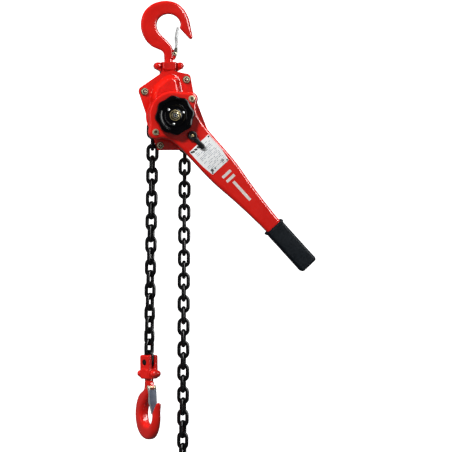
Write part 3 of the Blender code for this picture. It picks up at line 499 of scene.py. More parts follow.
# ------------------------------------------------------------------ hooks
HOOK = [
    ((-9.0, -92.0), (9.0, -92.0), 9.0),
    ((-9.4, -84.0), (9.2, -84.0), 9.0),
    ((-12.6, -77.6), (8.6, -74.2), 9.2),
    ((-20.5, -73.2), (5.2, -65.6), 9.6),
    ((-34.6, -66.7), (-5.4, -54.0), 10.2),
    ((-46.2, -55.4), (-16.0, -43.6), 10.5),
    ((-54.0, -40.6), (-22.2, -34.6), 10.5),
    ((-57.4, -23.3), (-25.2, -24.0), 10.5),
    ((-54.4, -4.4), (-22.6, -13.0), 10.5),
    ((-46.0, 10.0), (-17.0, -6.2), 10.5),
    ((-32.0, 21.6), (-10.6, -1.9), 10.4),
    ((-14.0, 27.4), (-3.6, -0.2), 10.3),
    ((2.6, 27.4), (3.6, -0.2), 10.0),
    ((18.6, 21.8), (11.0, -2.4), 9.6),
    ((31.6, 9.6), (18.0, -7.4), 9.2),
    ((40.4, -5.8), (23.2, -14.6), 8.6),
    ((44.4, -19.0), (25.2, -22.8), 8.0),
    ((46.0, -28.0), (23.6, -29.2), 7.2),
    ((48.2, -38.0), (31.4, -38.4), 6.2),
    ((50.0, -47.0), (40.0, -47.6), 5.2),
    ((49.6, -51.6), (44.4, -52.4), 3.0),
]


def catmull(rows, sub):
    r = np.array(rows, float)
    out = []
    for i in range(len(r) - 1):
        p0, p1, p2, p3 = r[max(i - 1, 0)], r[i], r[i + 1], r[min(i + 2, len(r) - 1)]
        for k in range(sub):
            t = k / sub
            out.append(0.5 * ((2 * p1) + (p2 - p0) * t + (2 * p0 - 5 * p1 + 4 * p2 - p3) * t * t + (3 * p1 - p0 - 3 * p2 + p3) * t ** 3))
    out.append(r[-1])
    return np.array(out)


def hook_mesh(name):
    rows = catmull([(ox, oz, ix, iz, b) for (ox, oz), (ix, iz), b in HOOK], 5)
    rings = []
    for si, (ox, oz, ix, iz, b) in enumerate(rows):
        tip = min(1.0, max(0.0, (si / 5.0 - 12.2) / 3.0))
        flat_v, flat_u = 0.5 + 0.55 * tip, 0.6 + 0.25 * tip
        c = Vector(((ox + ix) / 2, (oz + iz) / 2))
        d = Vector((ox - ix, oz - iz)) / 2
        ring = []
        for k in range(40):
            t = 2 * math.pi * (k + 0.5) / 40
            u, v = math.cos(t), math.sin(t)
            u = math.copysign(abs(u) ** flat_u, u)
            v = math.copysign(abs(v) ** flat_v, v) * (1.0 - 0.10 * u) * (1.0 + 0.06 * tip)
            p = c + d * u * 1.03
            ring.append((p.x, b * v * 0.985, p.y))
        rings.append(ring)
    loft = loft_mesh(name, rings)
    shank = lathe("shank", [(0, -108.4), (9.0, -108.4), (9.0, -88.0), (0, -88.0)], 0, 0, 32)
    head = lathe("head", [(0, -115.8), (12.2, -115.8), (12.2, -107.9), (0, -107.9)], 0, 0, 32)
    turn = Matrix.Rotation(math.radians(90), 4, "X")
    for me in (shank, head):
        me.transform(turn)
    lug = curve_plate("lug", rounded([(3.0, -95.4, 1), (12.5, -95.4, 3), (15.8, -90.0, 2), (17.8, -82.0, 2.5), (14.0, -76.4, 3), (3.0, -70.0, 1)], 4), -4.6, 4.6, 1.2)
    return forged(join(name, [loft, shank, head, lug]), 0.75, 4)


def latch_meshes():
    """Folded sheet latch in the hook's frame: a plate that faces the bowl, two folded sides and ears on the pin."""
    prof = [(17.9, -78.0, 8.3, 6.0), (18.6, -72.0, 8.4, 4.9), (19.4, -64.0, 8.4, 5.4), (20.2, -56.0, 8.3, 7.4), (20.8, -50.6, 8.0, 8.6), (21.1, -46.0, 6.6, 8.4),
            (21.3, -40.0, 5.4, 7.4), (21.5, -33.0, 4.6, 6.0), (21.6, -26.8, 4.0, 4.6)]
    t = 0.85
    rings = [[(x - t, w - t, z), (x - t, -(w - t), z), (x - 0.2, -(w - 0.3), z), (x, -(w - 0.9), z), (x, w - 0.9, z), (x - 0.2, w - 0.3, z)] for x, z, w, dep in prof]
    chan = loft_mesh("latch", rings)
    sides = []
    for sgn in (-1, 1):
        rings = [[(x - dep, sgn * w, z), (x - 0.7, sgn * w, z), (x - 0.25, sgn * (w - 0.25), z), (x - 0.6, sgn * (w - t), z), (x - dep, sgn * (w - t), z)] for x, z, w, dep in prof]
        sides.append(loft_mesh("latch_side", rings))
    sides = join("latch_sides", sides)
    parts = []
    for s in (-1, 1):
        y = sorted((s * 7.4, s * 8.5))
        parts.append(curve_plate("ear", rounded([(8.8, -85.2, 2.0), (12.6, -87.4, 3), (16.6, -86.0, 3), (18.6, -80.0, 2), (18.8, -70.0, 1), (12.8, -70.4, 1.5)], 4),
                                 y[0], y[1], 0.25, [arc(13.0, -82.5, 2.4, 0, 330, 11)], res=1))
    return chan, sides, join("latch", parts)


def spring_mesh():
    """Torsion spring round the latch's pin, with a leg up the plate."""
    pts = []
    turns, w = 4.2, 5.4
    for i in range(int(turns * 20) + 1):
        a = 2 * math.pi * i / 20 + 0.6
        y = -w + 2 * w * i / (turns * 20)
        pts.append(Vector((13.0 + 4.1 * math.cos(a), y, -82.5 + 4.1 * math.sin(a))))
    pts.append(Vector((16.9, w, -76.0)))
    pts.append(Vector((17.4, w - 0.4, -66.0)))
    return tube("spring", pts, 0.75, False, 8, Vector((0, 1, 0.2)))


def pin_mesh():
    return lathe("latch_pin", fillet([(1.9, -8.2), (2.0, -9.5, 0.2), (2.9, -9.6, 0.5), (3.7, -9.0, 0.6), (3.7, -8.7, 0.2), (2.3, -8.6), (2.3, 8.6), (3.7, 8.7, 0.2), (3.7, 9.0, 0.6),
                                      (2.9, 9.6, 0.5), (2.0, 9.5, 0.2), (1.9, 8.2)], 3), 13.0, -82.5, 28)


HOOK_ME, SPRING_ME, PIN_ME = hook_mesh("hook"), spring_mesh(), pin_mesh()
LATCH_ME, SIDES_ME, EARS_ME = latch_meshes()
CORE_ME = lathe("core", fillet([(0, -9.0), (1.75, -9.0, 0.2), (1.85, -8.6), (1.85, 8.6), (1.75, 9.0, 0.2), (0, 9.0)], 2), 13.0, -82.5, 20)


def at_load(extra):
    return (Matrix.Translation((-32.5 * MM, 0, -212.0 * MM)) @ Matrix.Rotation(math.radians(LOAD_LEAN), 4, "Y") @ extra)


def at_tail(extra):
    return (Matrix.Translation((34.5 * MM, 0, -212.0 * MM)) @ Matrix.Rotation(math.radians(TAIL_LEAN), 4, "Y") @ extra)


TOP_M = Matrix.Rotation(math.radians(-9.0), 4, "Z")
LOW_Y = at_load(Matrix.Translation((0, 0, -513.8 * MM)) @ Matrix.Rotation(math.radians(-54.0), 4, "Z") @ Matrix.Rotation(math.radians(-2.6), 4, "Y"))
LOW_M = LOW_Y @ Matrix.Translation((0, 0, -134.2 * MM)) @ Matrix.Rotation(math.radians(-18.7), 4, "Z") @ Matrix.Rotation(math.pi, 4, "X")
for v in HOOK_ME.vertices:
    if v.co.z > 8.0 * MM:
        v.co.z = 8.0 * MM + (v.co.z - 8.0 * MM) * 0.9455
for pre, m in (("top", TOP_M), ("bottom", LOW_M)):
    def placed(me):
        c = me.copy()
        c.transform(m)
        return c
    piece(pre + "_hook_forging", placed(HOOK_ME), RED_CAST, pre + "_hook", [pre + "_hook"], 60)
    piece(pre + "_latch_plate", placed(LATCH_ME), SHEET, pre + "_latch", [pre + "_latch"], 35)
    # the folded sides and ears are the same sheet as the plate, given lit and shaded copies of its colour
    piece(pre + "_latch_sides", placed(SIDES_ME), SHEET_PAINTED_HIGHLIGHT, pre + "_latch", (), 35)
    piece(pre + "_latch_ears", placed(EARS_ME), SHEET_PAINTED_SHADE if pre == "top" else SHEET_PAINTED_HIGHLIGHT, pre + "_latch", (), 35)
    piece(pre + "_latch_pin_core", placed(CORE_ME), DARK_AND_PAINTED_SHADE, pre + "_hook", (), 35)
    piece(pre + "_latch_spring", placed(SPRING_ME), SPRING, pre + "_latch", (), 60)
    piece(pre + "_latch_rivet", placed(PIN_ME), ZINC, pre + "_hook", [pre + "_latch_pin"], 35)

# ------------------------------------------------------------------ yokes
def box_bm(bm, lo, hi):
    v = [bm.verts.new(Vector((x, y, z)) * MM) for x in (lo[0], hi[0]) for y in (lo[1], hi[1]) for z in (lo[2], hi[2])]
    for f in ((0, 1, 3, 2), (4, 6, 7, 5), (0, 4, 5, 1), (2, 3, 7, 6), (0, 2, 6, 4), (1, 5, 7, 3)):
        bm.faces.new([v[k] for k in f])


def carved(me, boxes, place=None):
    """The mesh with boxes (low corner, high corner) cut away."""
    bm = bmesh.new()
    for lo, hi in boxes:
        box_bm(bm, lo, hi)
    c = bm_mesh("cut", bm)
    if place is not None:
        c.transform(place)
    o = bpy.data.objects.new("cut", c)
    SC.collection.objects.link(o)
    out = evaluated(me, [("BOOLEAN", dict(operation="DIFFERENCE", solver="EXACT", object=o))])
    bpy.data.objects.remove(o)
    return out


for sgn, side in ((-1, "front"), (1, "rear")):
    y = sorted((sgn * 9.0, sgn * 30.0))
    n = f"top_yoke_{side}"
    slots = [((a, y[0], -122.0), (b, y[1], -97.0)) for a, b in ((-17.4, -14.3), (14.3, 17.4))]
    body = carved(cad_copy(n), slots)
    neck = curve_plate("neck", [(-11.0, -111.0), (-11.0, -114.5)] + arc(0, PIN_Z, 16.0, 120.0, 60.0, 8) + [(11.0, -114.5), (11.0, -111.0)], min(sgn * 10.0, sgn * 20.6), max(sgn * 10.0, sgn * 20.6), 0.5)
    piece(n + "_forging", forged(join("y", [body, neck]), 0.6, 5), RED_CAST, "top_yoke", [n], 60)
    n = f"bottom_yoke_{side}"
    piece(n + "_forging", forged(cad_copy(n), 0.6, 5), RED_CAST, "bottom_yoke", [n], 60)


# dark red boxes lining the top yoke's slots: painted shade where the slot floors and sides fall into shadow
crease = []
for sx in (-1, 1):
    for sy in (-1, 1):
        bm = bmesh.new()
        box_bm(bm, (min(sx * 14.6, sx * 17.1), min(sy * 8.6, sy * 9.6), -119.0), (max(sx * 14.6, sx * 17.1), max(sy * 8.6, sy * 9.6), -101.8))
        crease.append(bm_mesh("crease", bm))
piece("top_yoke_painted_crease_shade", join("crease", crease), RED_PAINTED_SHADE, "top_yoke", (), 30)


def rivet_mesh(x, z, half, r=6.3, tall=5.4):
    head = [(r * math.sin(math.radians(a)), tall * math.cos(math.radians(a)) - 0.1) for a in (0, 12, 24, 36, 48, 60, 70, 80, 90)] + [(r - 0.4, -0.35), (4.0, -0.4)]
    prof = [(q, -half - h) for q, h in head] + [(q, half + h) for q, h in head[::-1]]
    return lathe("rivet", prof, x, z, 36)


for s, side in ((-1, "left"), (1, "right")):
    piece(f"top_yoke_rivet_{side}", rivet_mesh(s * LOBE_X, -108.0, 12.0), RED_CAST, "top_yoke", [f"top_yoke_bolt_{side}"], 50)
    me = rivet_mesh(s * 19.6, -34.2 + 10.5, 8.6, 6.0, 4.2)
    me.transform(LOW_Y)
    piece(f"bottom_yoke_rivet_{side}", me, RED_CAST, "bottom_yoke", [f"bottom_yoke_bolt_{side}"], 50)
half_pin = [(0, 14.2), (3.6, 14.2), (5.1, 13.8), (5.8, 12.9), (5.9, 9.6), (4.0, 9.5)]
me = lathe("chain_pin", [(r, -y) for r, y in half_pin] + half_pin[::-1], 0, 0, 32)
me.transform(LOW_Y)
piece("chain_pin_dark", me, DARK_AND_PAINTED_SHADE, "bottom_yoke", ["chain_pin"], 30)

# ------------------------------------------------------------------ body
FLANGE = rounded([(0, -117.5, 30), (-20, -124.5, 14), (-66.5, -156.5, 7), (-40, -240.0, 20), (-26.0, -283.3, 5), (34.0, -283.3, 12),
                  (76.0, -256.0, 12), (79.0, -242.0, 10), (49.2, -164.0, 30), (42.5, -126.0, 9)])
PLATE_O = rounded([(0, -120.5, 26), (-20, -127.5, 12), (-62.0, -157.0, 7), (-34.5, -240.0, 20), (-23.5, -280.3, 4), (34.0, -280.3, 12),
                   (73.5, -255.0, 11), (76.0, -242.0, 9), (46.2, -164.0, 30), (41.0, -129.0, 8)])
STAYS = [(-53.2, -162.0), (33.9, -136.8), (-20.9, -273.4), (66.2, -248.2)]


def ring2(x, z, r, n=40):
    return arc(x, z, r, 0, 360 - 360 / n, n - 1)


for nm, y in (("front_side_plate", (-21.0, -16.0)), ("rear_side_plate", (16.0, 21.0))):
    piece(nm + "_sheet", curve_plate(nm, PLATE_O, y[0], y[1], 0.8, [ring2(AXIS_X, AXIS_Z, 20.1)]), RED, "hoist_body", [nm], 40)

DOME = rounded([(24, -172, 12), (16.0, -134.5, 9), (2, -126.6, 13), (-12, -133, 8), (-33.5, -151.5, 11), (-41.0, -177, 12)]
               + [(x, z, 0) for x, z in arc(AXIS_X, AXIS_Z, 47.4, 147, 417, 60)], 12)
dome = smooth_ring(resample(DOME, 240), 6)
nrm = normals2(dome)


def dome_ring(offset, y):
    q = dome + nrm * offset
    return [(px, y, pz) for px, pz in q]


rings = [dome_ring(-2.6, -21.6), dome_ring(4.4, -23.7)]
for k in range(1, 7):
    a = math.radians(12 * k)
    rings.append(dome_ring(4.4 - 4.4 * math.sin(a), -24.0 - 4.4 * (1 - math.cos(a))))
rings += [dome_ring(-2.6, -34.0), dome_ring(-5.0, -39.5), dome_ring(-6.0, -41.6)]
for k in range(1, 9):
    a = math.radians(90 / 8 * k)
    rings.append(dome_ring(-6.0 - 5.4 * (1 - math.cos(a)) - 0.6 * math.sin(a), -41.6 - 4.3 * math.sin(a)))
inner = []
for px, pz in dome:
    a = math.atan2(pz - AXIS_Z, px - AXIS_X)
    inner.append((AXIS_X + 14.6 * math.cos(a), -46.0, AXIS_Z + 14.6 * math.sin(a)))
mid = [tuple(0.5 * np.array(p) + 0.5 * np.array(q)) for p, q in zip(rings[-1], inner)]
rings += [mid, inner, [(p[0], -43.4, p[2]) for p in inner]]
dome_me = loft_mesh("dome", rings, cap=(False, False))
dome_in = loft_mesh("dome_in", [[(p[0], -43.4, p[2]) for p in inner]] + [dome_ring(-13.0, -43.4), dome_ring(-8.0, -41.0), dome_ring(-4.0, -34.0), dome_ring(-2.0, -28.0), dome_ring(-1.8, -21.6)], cap=(False, False))
flange_me = curve_plate("flange", FLANGE, -24.0, -21.3, 0.9, [[tuple(p) for p in (dome - nrm * 2.6)]])
bmj = bmesh.new()
for me in (dome_me, dome_in, flange_me):
    bmj.from_mesh(me)
piece("brake_cover_pressing", bm_mesh("brake_cover", bmj), RED, "hoist_body", ["brake_cover"], 40)

piece("gear_cover_casting", forged(cad_copy("gear_cover"), 0.8, 6), RED, "hoist_body", ["gear_cover"], 60)
for i, (sx, sz) in enumerate(STAYS, 1):
    piece(f"stay_nut_{i}_hex", hexnut(sx, sz, -31.0, -25.4, 6.0, 4.3, chamfer=0.8, deep=1.8), ZINC, "hoist_body", [f"stay_nut_{i}"], 25)
    # the washer under each stay nut carries the dark zinc as painted shade between washer and nut
    piece(f"stay_washer_{i}", lathe("w", fillet([(4.6, -25.6), (7.9, -25.6, 0.3), (7.9, -24.2, 0.2), (4.6, -24.2)], 2), sx, sz, 40), ZINC_PAINTED_SHADE, "hoist_body", (), 30)
    # a black sleeve between the stud and the nut's bore: painted shade in that gap
    piece(f"stay_nut_gap_shade_{i}", lathe("t", [(2.2, -30.2), (4.4, -30.6), (4.4, -25.0), (2.2, -25.0)], sx, sz, 40), DARK_AND_PAINTED_SHADE, "hoist_body", (), 30)
    stub = lathe("stub", fillet([(0, -33.0), (0.5, -33.0, 0.1), (0.7, -34.0, 0.2), (1.9, -34.0, 0.5), (2.25, -33.3, 0.3), (2.25, -25.2, 0.2), (3.9, -25.0), (3.9, -16.6), (0, -16.6)], 3), sx, sz, 32)
    if i == 3:
        piece("stay_stud_3", stub, ZINC, "hoist_body", ["stay_bolt_3"], 30)
    else:
        rod = lathe("rod", fillet([(0, -16.8), (6.0, -15.7, 0.3), (6.0, 15.7, 0.3), (3.9, 15.8), (3.9, 21.3), (0, 21.3)], 3), sx, sz, 32)
        head = hexnut(sx, sz, 26.4, 21.3, 6.3, 1.0, 0.0)
        piece(f"stay_bolt_{i}_turned", join("stay", [stub, rod, head]), ZINC, "hoist_body", [f"stay_bolt_{i}"], 25)
piece("suspension_pin_turned", lathe("sp", fillet([(0, -20.7), (5.9, -20.7, 0.6), (6.1, -20.0), (6.1, 20.2), (5.6, 20.9), (0, 20.9)], 3), 0, PIN_Z, 40), STEEL,
      "hoist_body", ["suspension_pin"], 35)
guide = rounded([(-10, -256, 4), (-10, -279, 3), (14, -279, 3), (14, -256, 4), (2, -250, 6)])
piece("chain_guide_block", curve_plate("guide", guide, -15.6, 15.6, 1.2), DARK_AND_PAINTED_SHADE, "hoist_body", ["chain_guide"], 40)

# ------------------------------------------------------------------ drive
piece("load_sheave_turned", join("sheave", [
    lathe("s", fillet([(6.4, -20.6), (12.0, -20.6, 0.4), (12.0, -15.2), (24.2, -15.0, 0.8), (24.2, -7.2, 0.8), (21.0, -5.0, 1.0), (12.0, -5.0, 1), (12.0, 5.0, 1),
                       (21.0, 5.0, 1.0), (24.2, 7.2, 0.8), (24.2, 15.0, 0.8), (12.0, 15.2), (12.0, 23.0), (6.4, 23.0)], 3), AXIS_X, AXIS_Z, 64)]),
      STEEL, "sheave", ["load_sheave"], 35)


def lobes(r, t):
    if r < 30.5:
        return r
    k = min(1.0, (r - 30.5) / 6.0)
    c = math.cos(8 * (t - math.radians(98.0)))
    return r + k * (1.5 * c - 0.5)


wheel_prof = fillet([(6.4, -94.2), (12.4, -94.2, 0.6), (14.0, -93.4, 1.0), (20.0, -93.4, 1.0), (21.4, -94.8, 0.6), (23.4, -94.8, 0.6), (24.6, -93.8, 0.6),
                     (27.0, -94.4, 0.6), (29.6, -95.4, 0.8), (31.2, -97.7, 1.0), (35.2, -98.0, 1.5), (39.2, -96.6, 2.6), (40.0, -90.0, 3.0), (39.9, -78.5, 1.5),
                     (38.6, -76.2, 1.0), (34.6, -76.2, 0.8), (33.8, -88.0, 2.0), (13.0, -90.0, 2.0), (12.0, -74.0, 0.4), (6.4, -73.6)], 5)
piece("handwheel_moulded", lathe("hw", wheel_prof, AXIS_X, AXIS_Z, 192, lobes), WHEEL, "handwheel", ["handwheel"], 50)
for i, a in enumerate((20.0, 140.0, 260.0), 1):
    rx, rz = AXIS_X + 17.8 * math.cos(math.radians(a)), AXIS_Z + 17.8 * math.sin(math.radians(a))
    piece(f"handwheel_rivet_{i}", lathe("r", [(0, -95.3), (1.3, -95.2), (2.4, -94.7), (2.9, -93.9), (2.9, -93.0), (0, -93.0)], rx, rz, 24), BRIGHT, "handwheel", (), 60)
piece("handwheel_washer", lathe("w", fillet([(6.2, -95.6), (8.9, -95.6, 0.2), (9.1, -96.0, 0.1), (10.9, -96.0, 0.5), (11.4, -95.2, 0.3), (11.4, -94.3), (6.2, -94.3)], 3), AXIS_X, AXIS_Z, 56),
      OLIVE_MID, "handwheel", (), 25)
# a thin black ring on the washer's recessed face around the nut: painted shade in the recess
piece("handwheel_washer_groove_shade", lathe("g", [(6.6, -95.75), (8.9, -95.75), (8.9, -95.2), (6.6, -95.2)], AXIS_X, AXIS_Z, 56), DARK_AND_PAINTED_SHADE, "handwheel", (), 25)
piece("handwheel_nut_hex", hexnut(AXIS_X, AXIS_Z, -98.3, -95.7, 6.7, 5.2, 10.0, 0.5, 2.1), ZINC_DEEP, "handwheel", ["handwheel_nut"], 25)
# a black ring between the shaft end and the nut's bore: painted shade in that gap
piece("handwheel_nut_gap_shade", lathe("t", [(3.7, -97.3), (5.3, -97.6), (5.3, -95.8), (3.7, -95.8)], AXIS_X, AXIS_Z, 40), DARK_AND_PAINTED_SHADE, "handwheel", (), 25)
piece("shaft_end_ring", lathe("sr", fillet([(1.9, -97.0), (2.0, -98.4, 0.2), (3.7, -98.4, 0.4), (3.8, -97.6, 0.1), (3.8, -96.0), (1.9, -96.0)], 2), AXIS_X, AXIS_Z, 36), BRIGHT,
      "handwheel", (), 30)
# a black disc in the shaft end's hole: painted shade in the bore
piece("shaft_end_bore_shade", lathe("sb", [(0, -96.6), (2.1, -97.0), (2.1, -96.0), (0, -96.0)], AXIS_X, AXIS_Z, 32), DARK_AND_PAINTED_SHADE, "handwheel", (), 40)
# ------------------------------------------------------------------ lever
LEV = Matrix.Translation((AXIS_X * MM, 0, AXIS_Z * MM)) @ Matrix.Rotation(math.radians(-LEVER_ANGLE), 4, "Y")
HALF = [(20.0, 45.9), (27.0, 41.6), (35.0, 37.8), (50.0, 34.8), (70.0, 33.4), (110.0, 32.6), (140.0, 32.2), (170.0, 30.2), (207.0, 25.6),
        (243.0, 22.0), (277.0, 19.4), (312.0, 17.8), (412.0, 17.4)]


def lever_outline(inset=0.0):
    up = [tuple(p) for p in catmull(HALF, 6)]
    lobe = arc(0, 50.5, 14.2, 20, 160, 16)
    left = arc(0, 0, 50.0, 118, 242, 30)
    up_side = lobe + left + [(x, -z) for x, z in lobe[::-1]]
    pts = [(x, -z) for x, z in up] + up[::-1] + up_side
    q = smooth_ring(resample(pts, 420), 2)
    if inset:
        q = q - normals2(q) * inset
    return [tuple(p) for p in q]


def lever_shell(name, y_face, y_open, wall=2.4, rad=7.0):
    """One pressed half of the lever: face with a rounded edge, side wall, open at the parting line."""
    s = 1 if y_open > y_face else -1
    base = np.array(lever_outline())
    nn = normals2(base)

    def ring(off, y):
        q = base - nn * off
        return [(px, y, pz) for px, pz in q]
    outer = [ring(0.0, y_open)]
    for k in range(0, 7):
        a = math.radians(15 * k)
        outer.append(ring(rad * (1 - math.cos(a)), y_face + s * rad * (1 - math.sin(a))))
    inner_r = rad - wall
    inn = [ring(wall + max(inner_r, 0.3), y_face + s * wall), ring(wall, y_face + s * (wall + max(inner_r, 0.3))), ring(wall, y_open)]
    bm = bmesh.new()
    rr = [[bm.verts.new(Vector(p) * MM) for p in r] for r in outer]
    ri = [[bm.verts.new(Vector(p) * MM) for p in r] for r in inn]
    n = len(base)
    for seq in (rr, ri):
        for a, b in zip(seq, seq[1:]):
            for i in range(n):
                bm.faces.new((a[i], a[(i + 1) % n], b[(i + 1) % n], b[i]))
    for i in range(n):
        bm.faces.new((rr[0][i], rr[0][(i + 1) % n], ri[-1][(i + 1) % n], ri[-1][i]))

    def face(ring_v, y, holes):
        edges = [bm.edges.get((ring_v[i], ring_v[(i + 1) % n])) for i in range(n)]
        loops = []
        for (hx, hz, hr) in holes:
            hv = [bm.verts.new(Vector((hx + hr * math.cos(2 * math.pi * k / 32), y, hz + hr * math.sin(2 * math.pi * k / 32))) * MM) for k in range(32)]
            he = [bm.edges.new((hv[k], hv[(k + 1) % 32])) for k in range(32)]
            loops.append(hv)
            edges += he
        bmesh.ops.triangle_fill(bm, use_beauty=True, use_dissolve=False, edges=edges)
        return loops
    holes = [(0, 0, 13.4)]
    la = face(rr[-1], y_face, holes)
    lb = face(ri[0], y_face + s * wall, holes)
    for a, b in zip(la, lb):
        for k in range(32):
            bm.faces.new((a[k], a[(k + 1) % 32], b[(k + 1) % 32], b[k]))
    me = bm_mesh(name, bm)
    me.transform(LEV)
    return me


def in_lever(me):
    me.transform(LEV)
    return me


piece("lever_front_pressing", lever_shell("lf", -72.0, -60.1), RED, "lever", ["lever_front"], 30)
piece("lever_rear_pressing", lever_shell("lr", -48.0, -59.9), RED, "lever", ["lever_rear"], 30)
for nm, s in (("lever_bolt_upper", 1), ("lever_bolt_lower", -1)):
    prof = fillet([(0, -75.6), (3.4, -75.6), (3.9, -77.4, 0.2), (5.0, -77.5, 0.6), (5.8, -76.4, 0.6), (5.9, -73.8, 0.2), (6.7, -73.6, 0.3), (6.7, -72.1, 0.2), (3.9, -72.0), (3.9, -48.4), (0, -48.4)], 3)
    piece(nm + "_turned", in_lever(lathe(nm, prof, 0, s * 50.5, 40)), ZINC_NUT, "lever", [nm], 30)
    # the recessed middle of each lever bolt head is painted dark as shade in the recess
    piece(nm + "_middle", in_lever(lathe(nm, fillet([(0, -75.9), (0.9, -75.9), (1.1, -76.5, 0.1), (2.6, -76.4, 0.4), (3.3, -75.7), (3.3, -75.0), (0, -75.0)], 2), 0, s * 50.5, 32)), ZINC_PAINTED_SHADE, "lever", (), 30)


def grip_rings():
    rings = []

    def ring(x, hy, hz, r):
        pts = []
        for cy, cz, a0 in ((hy - r, hz - r, 0), (-(hy - r), hz - r, 90), (-(hy - r), -(hz - r), 180), (hy - r, -(hz - r), 270)):
            for k in range(9):
                a = math.radians(a0 + 90 * k / 8)
                pts.append((x, -60.0 + cy + r * math.cos(a), cz + r * math.sin(a)))
        return pts
    hy, hz = 14.6, 20.6
    inner = (12.4, 18.2, 2.0)
    rings.append(ring(310.4, *inner))
    rings.append(ring(310.0, hy + 0.9, hz + 1.5, 6.0))
    rings.append(ring(310.4, hy + 1.5, hz + 2.1, 6.5))
    rings.append(ring(312.0, hy + 1.6, hz + 2.2, 6.5))
    rings.append(ring(314.0, hy + 1.5, hz + 2.1, 6.5))
    rings.append(ring(315.4, hy + 0.9, hz + 1.3, 6.2))
    rings.append(ring(316.6, hy, hz, 6.0))
    rings.append(ring(360, hy - 0.1, hz - 0.15, 6.0))
    rings.append(ring(416.0, hy, hz, 6.0))
    for k in range(1, 7):
        a = math.radians(15 * k)
        d = 6.0 * (1 - math.cos(a))
        rings.append(ring(416.0 + 6.0 * math.sin(a), hy - d, hz - d, max(6.0 - d * 0.8, 1.0)))
    return rings


piece("lever_grip_sleeve", in_lever(loft_mesh("grip", grip_rings())), RUBBER, "lever", ["lever_grip"], 40)

plate_o = rounded([(77.0, -27.0, 1.2), (100.0, -27.2, 30), (120.0, -26.4, 30), (144.5, -22.6, 1.2), (144.5, 22.6, 1.2), (120.0, 26.4, 30), (100.0, 27.2, 30), (77.0, 27.0, 1.2)], 5)
piece("nameplate_sheet", in_lever(curve_plate("np", plate_o, -73.1, -72.05, 0.3, res=2)), PLATE, "lever", ["nameplate"], 30)


def bars(name, rows, mat, y0=-73.25, y1=-73.0):
    """Plain printed bars on the plate or lever: (x0, x1, z0, z1, slant)."""
    bm = bmesh.new()
    for x0, x1, z0, z1, sl in rows:
        c = [(x0, z0), (x1, z0), (x1 + sl, z1), (x0 + sl, z1)]
        a = [bm.verts.new(Vector((px, y0, pz)) * MM) for px, pz in c]
        b = [bm.verts.new(Vector((px, y1, pz)) * MM) for px, pz in c]
        bm.faces.new(a)
        bm.faces.new(b[::-1])
        for i in range(4):
            bm.faces.new((a[i], b[i], b[(i + 1) % 4], a[(i + 1) % 4]))
    return piece(name, in_lever(bm_mesh(name, bm)), mat, "lever", (), 30)


rng = np.random.RandomState(7)
grey = []
x = 85.0
while x < 138.0:
    z = -20.5
    while z < 19.0:
        w = 3.0 + 6.0 * rng.rand()
        if rng.rand() < 0.72:
            grey.append((x, x + 0.85, z, min(z + w, 20.5), 0))
        z += w + 1.6
    x += 3.1 if int(x) % 2 else 3.6
bars("nameplate_lines", grey, INK_GREY)
bars("nameplate_blocks", [(79.0, 83.6, -24.0, -17.5, 2.0), (79.0, 83.6, -16.2, -10.5, 2.0), (79.0, 83.6, -9.2, -4.0, 2.0), (134.0, 140.5, -19.8, -14.5, 0), (136.6, 139.6, -10.8, -8.4, 0),
                          (133.8, 135.0, 8.6, 15.4, 0), (137.0, 138.2, 8.6, 15.4, 0), (140.2, 141.2, 8.6, 15.4, 0)], INK_DARK)
pr = []
for px, pz in ((80.2, -24.2), (80.2, 24.2), (141.8, -20.4), (141.8, 20.4)):
    pr.append(lathe("pr", [(0, -74.1), (1.0, -74.0), (1.7, -73.5), (1.8, -73.0), (0, -73.0)], px, pz, 16))
piece("nameplate_rivets", in_lever(join("pr", pr)), DARK_AND_PAINTED_SHADE, "lever", (), 60)
bars("lever_stripes", [(160.0, 166.0, -11.5, 11.5, 0), (172.0, 178.0, -11.0, 11.0, 0), (184.0, 236.0, -3.0, 3.0, 0)], STRIPE, -72.2, -71.9)

# selector
hub = lathe("hub", fillet([(0, -80.6), (4.6, -80.6, 0.5), (5.4, -82.6, 0.6), (8.2, -82.8, 1.2), (9.5, -80.8, 1.2), (9.8, -76.0, 0.6), (9.4, -74.7, 0.3), (0, -74.7)], 4), 56.0, 0, 48)
arm_rings = []
for x, hw, y in ((50.0, 5.0, -80.0), (62.0, 5.0, -80.4), (70.0, 4.9, -80.7), (78.0, 5.3, -81.4), (85.0, 5.6, -82.0), (89.0, 5.0, -82.0), (90.6, 3.4, -81.6), (91.0, 1.6, -81.0)):
    ring = []
    for k in range(24):
        t = 2 * math.pi * k / 24
        cu_, cv_ = math.cos(t), math.sin(t)
        hy = (y - -75.6) / -2
        ring.append((x, (y - 75.6) / 2 + hy * math.copysign(abs(cu_) ** 0.6, cu_), hw * math.copysign(abs(cv_) ** 0.7, cv_)))
    arm_rings.append(ring)
arm = loft_mesh("arm", arm_rings)
piece("selector_knob", in_lever(forged(join("sel", [hub, arm]), 0.45, 4)), KNOB, "selector", ["selector_lever"], 60)
screw = join("screw", [lathe("s", fillet([(0, -82.4), (2.6, -82.3, 0.5), (3.3, -81.4, 0.4), (3.3, -80.5), (0, -80.5)], 3), 56.0, 0, 28)])
piece("selector_screw_head", in_lever(screw), BRASS, "selector", ["selector_screw"], 40)


# ------------------------------------------------------------------ chain
def link_path(squeeze=0.0, n=9):
    straight = LINK_L - LINK_W - squeeze
    pts = []
    for s in (1, -1):
        for k in range(n):
            t = math.radians(180.0 * k / (n - 1))
            pts.append(Vector((s * LINK_W * math.cos(t), 0, s * (straight + LINK_W * math.sin(t)))))
    return pts


def link_mesh(squeeze, wire, seg=14):
    return tube("link", link_path(squeeze, 13), wire, True, seg)


def twist(points, z):
    if z >= points[0][0]:
        return points[0][1]
    for (z0, a0), (z1, a1) in zip(points, points[1:]):
        if z >= z1:
            return a0 + (a1 - a0) * (z - z0) / (z1 - z0)
    return points[-1][1]


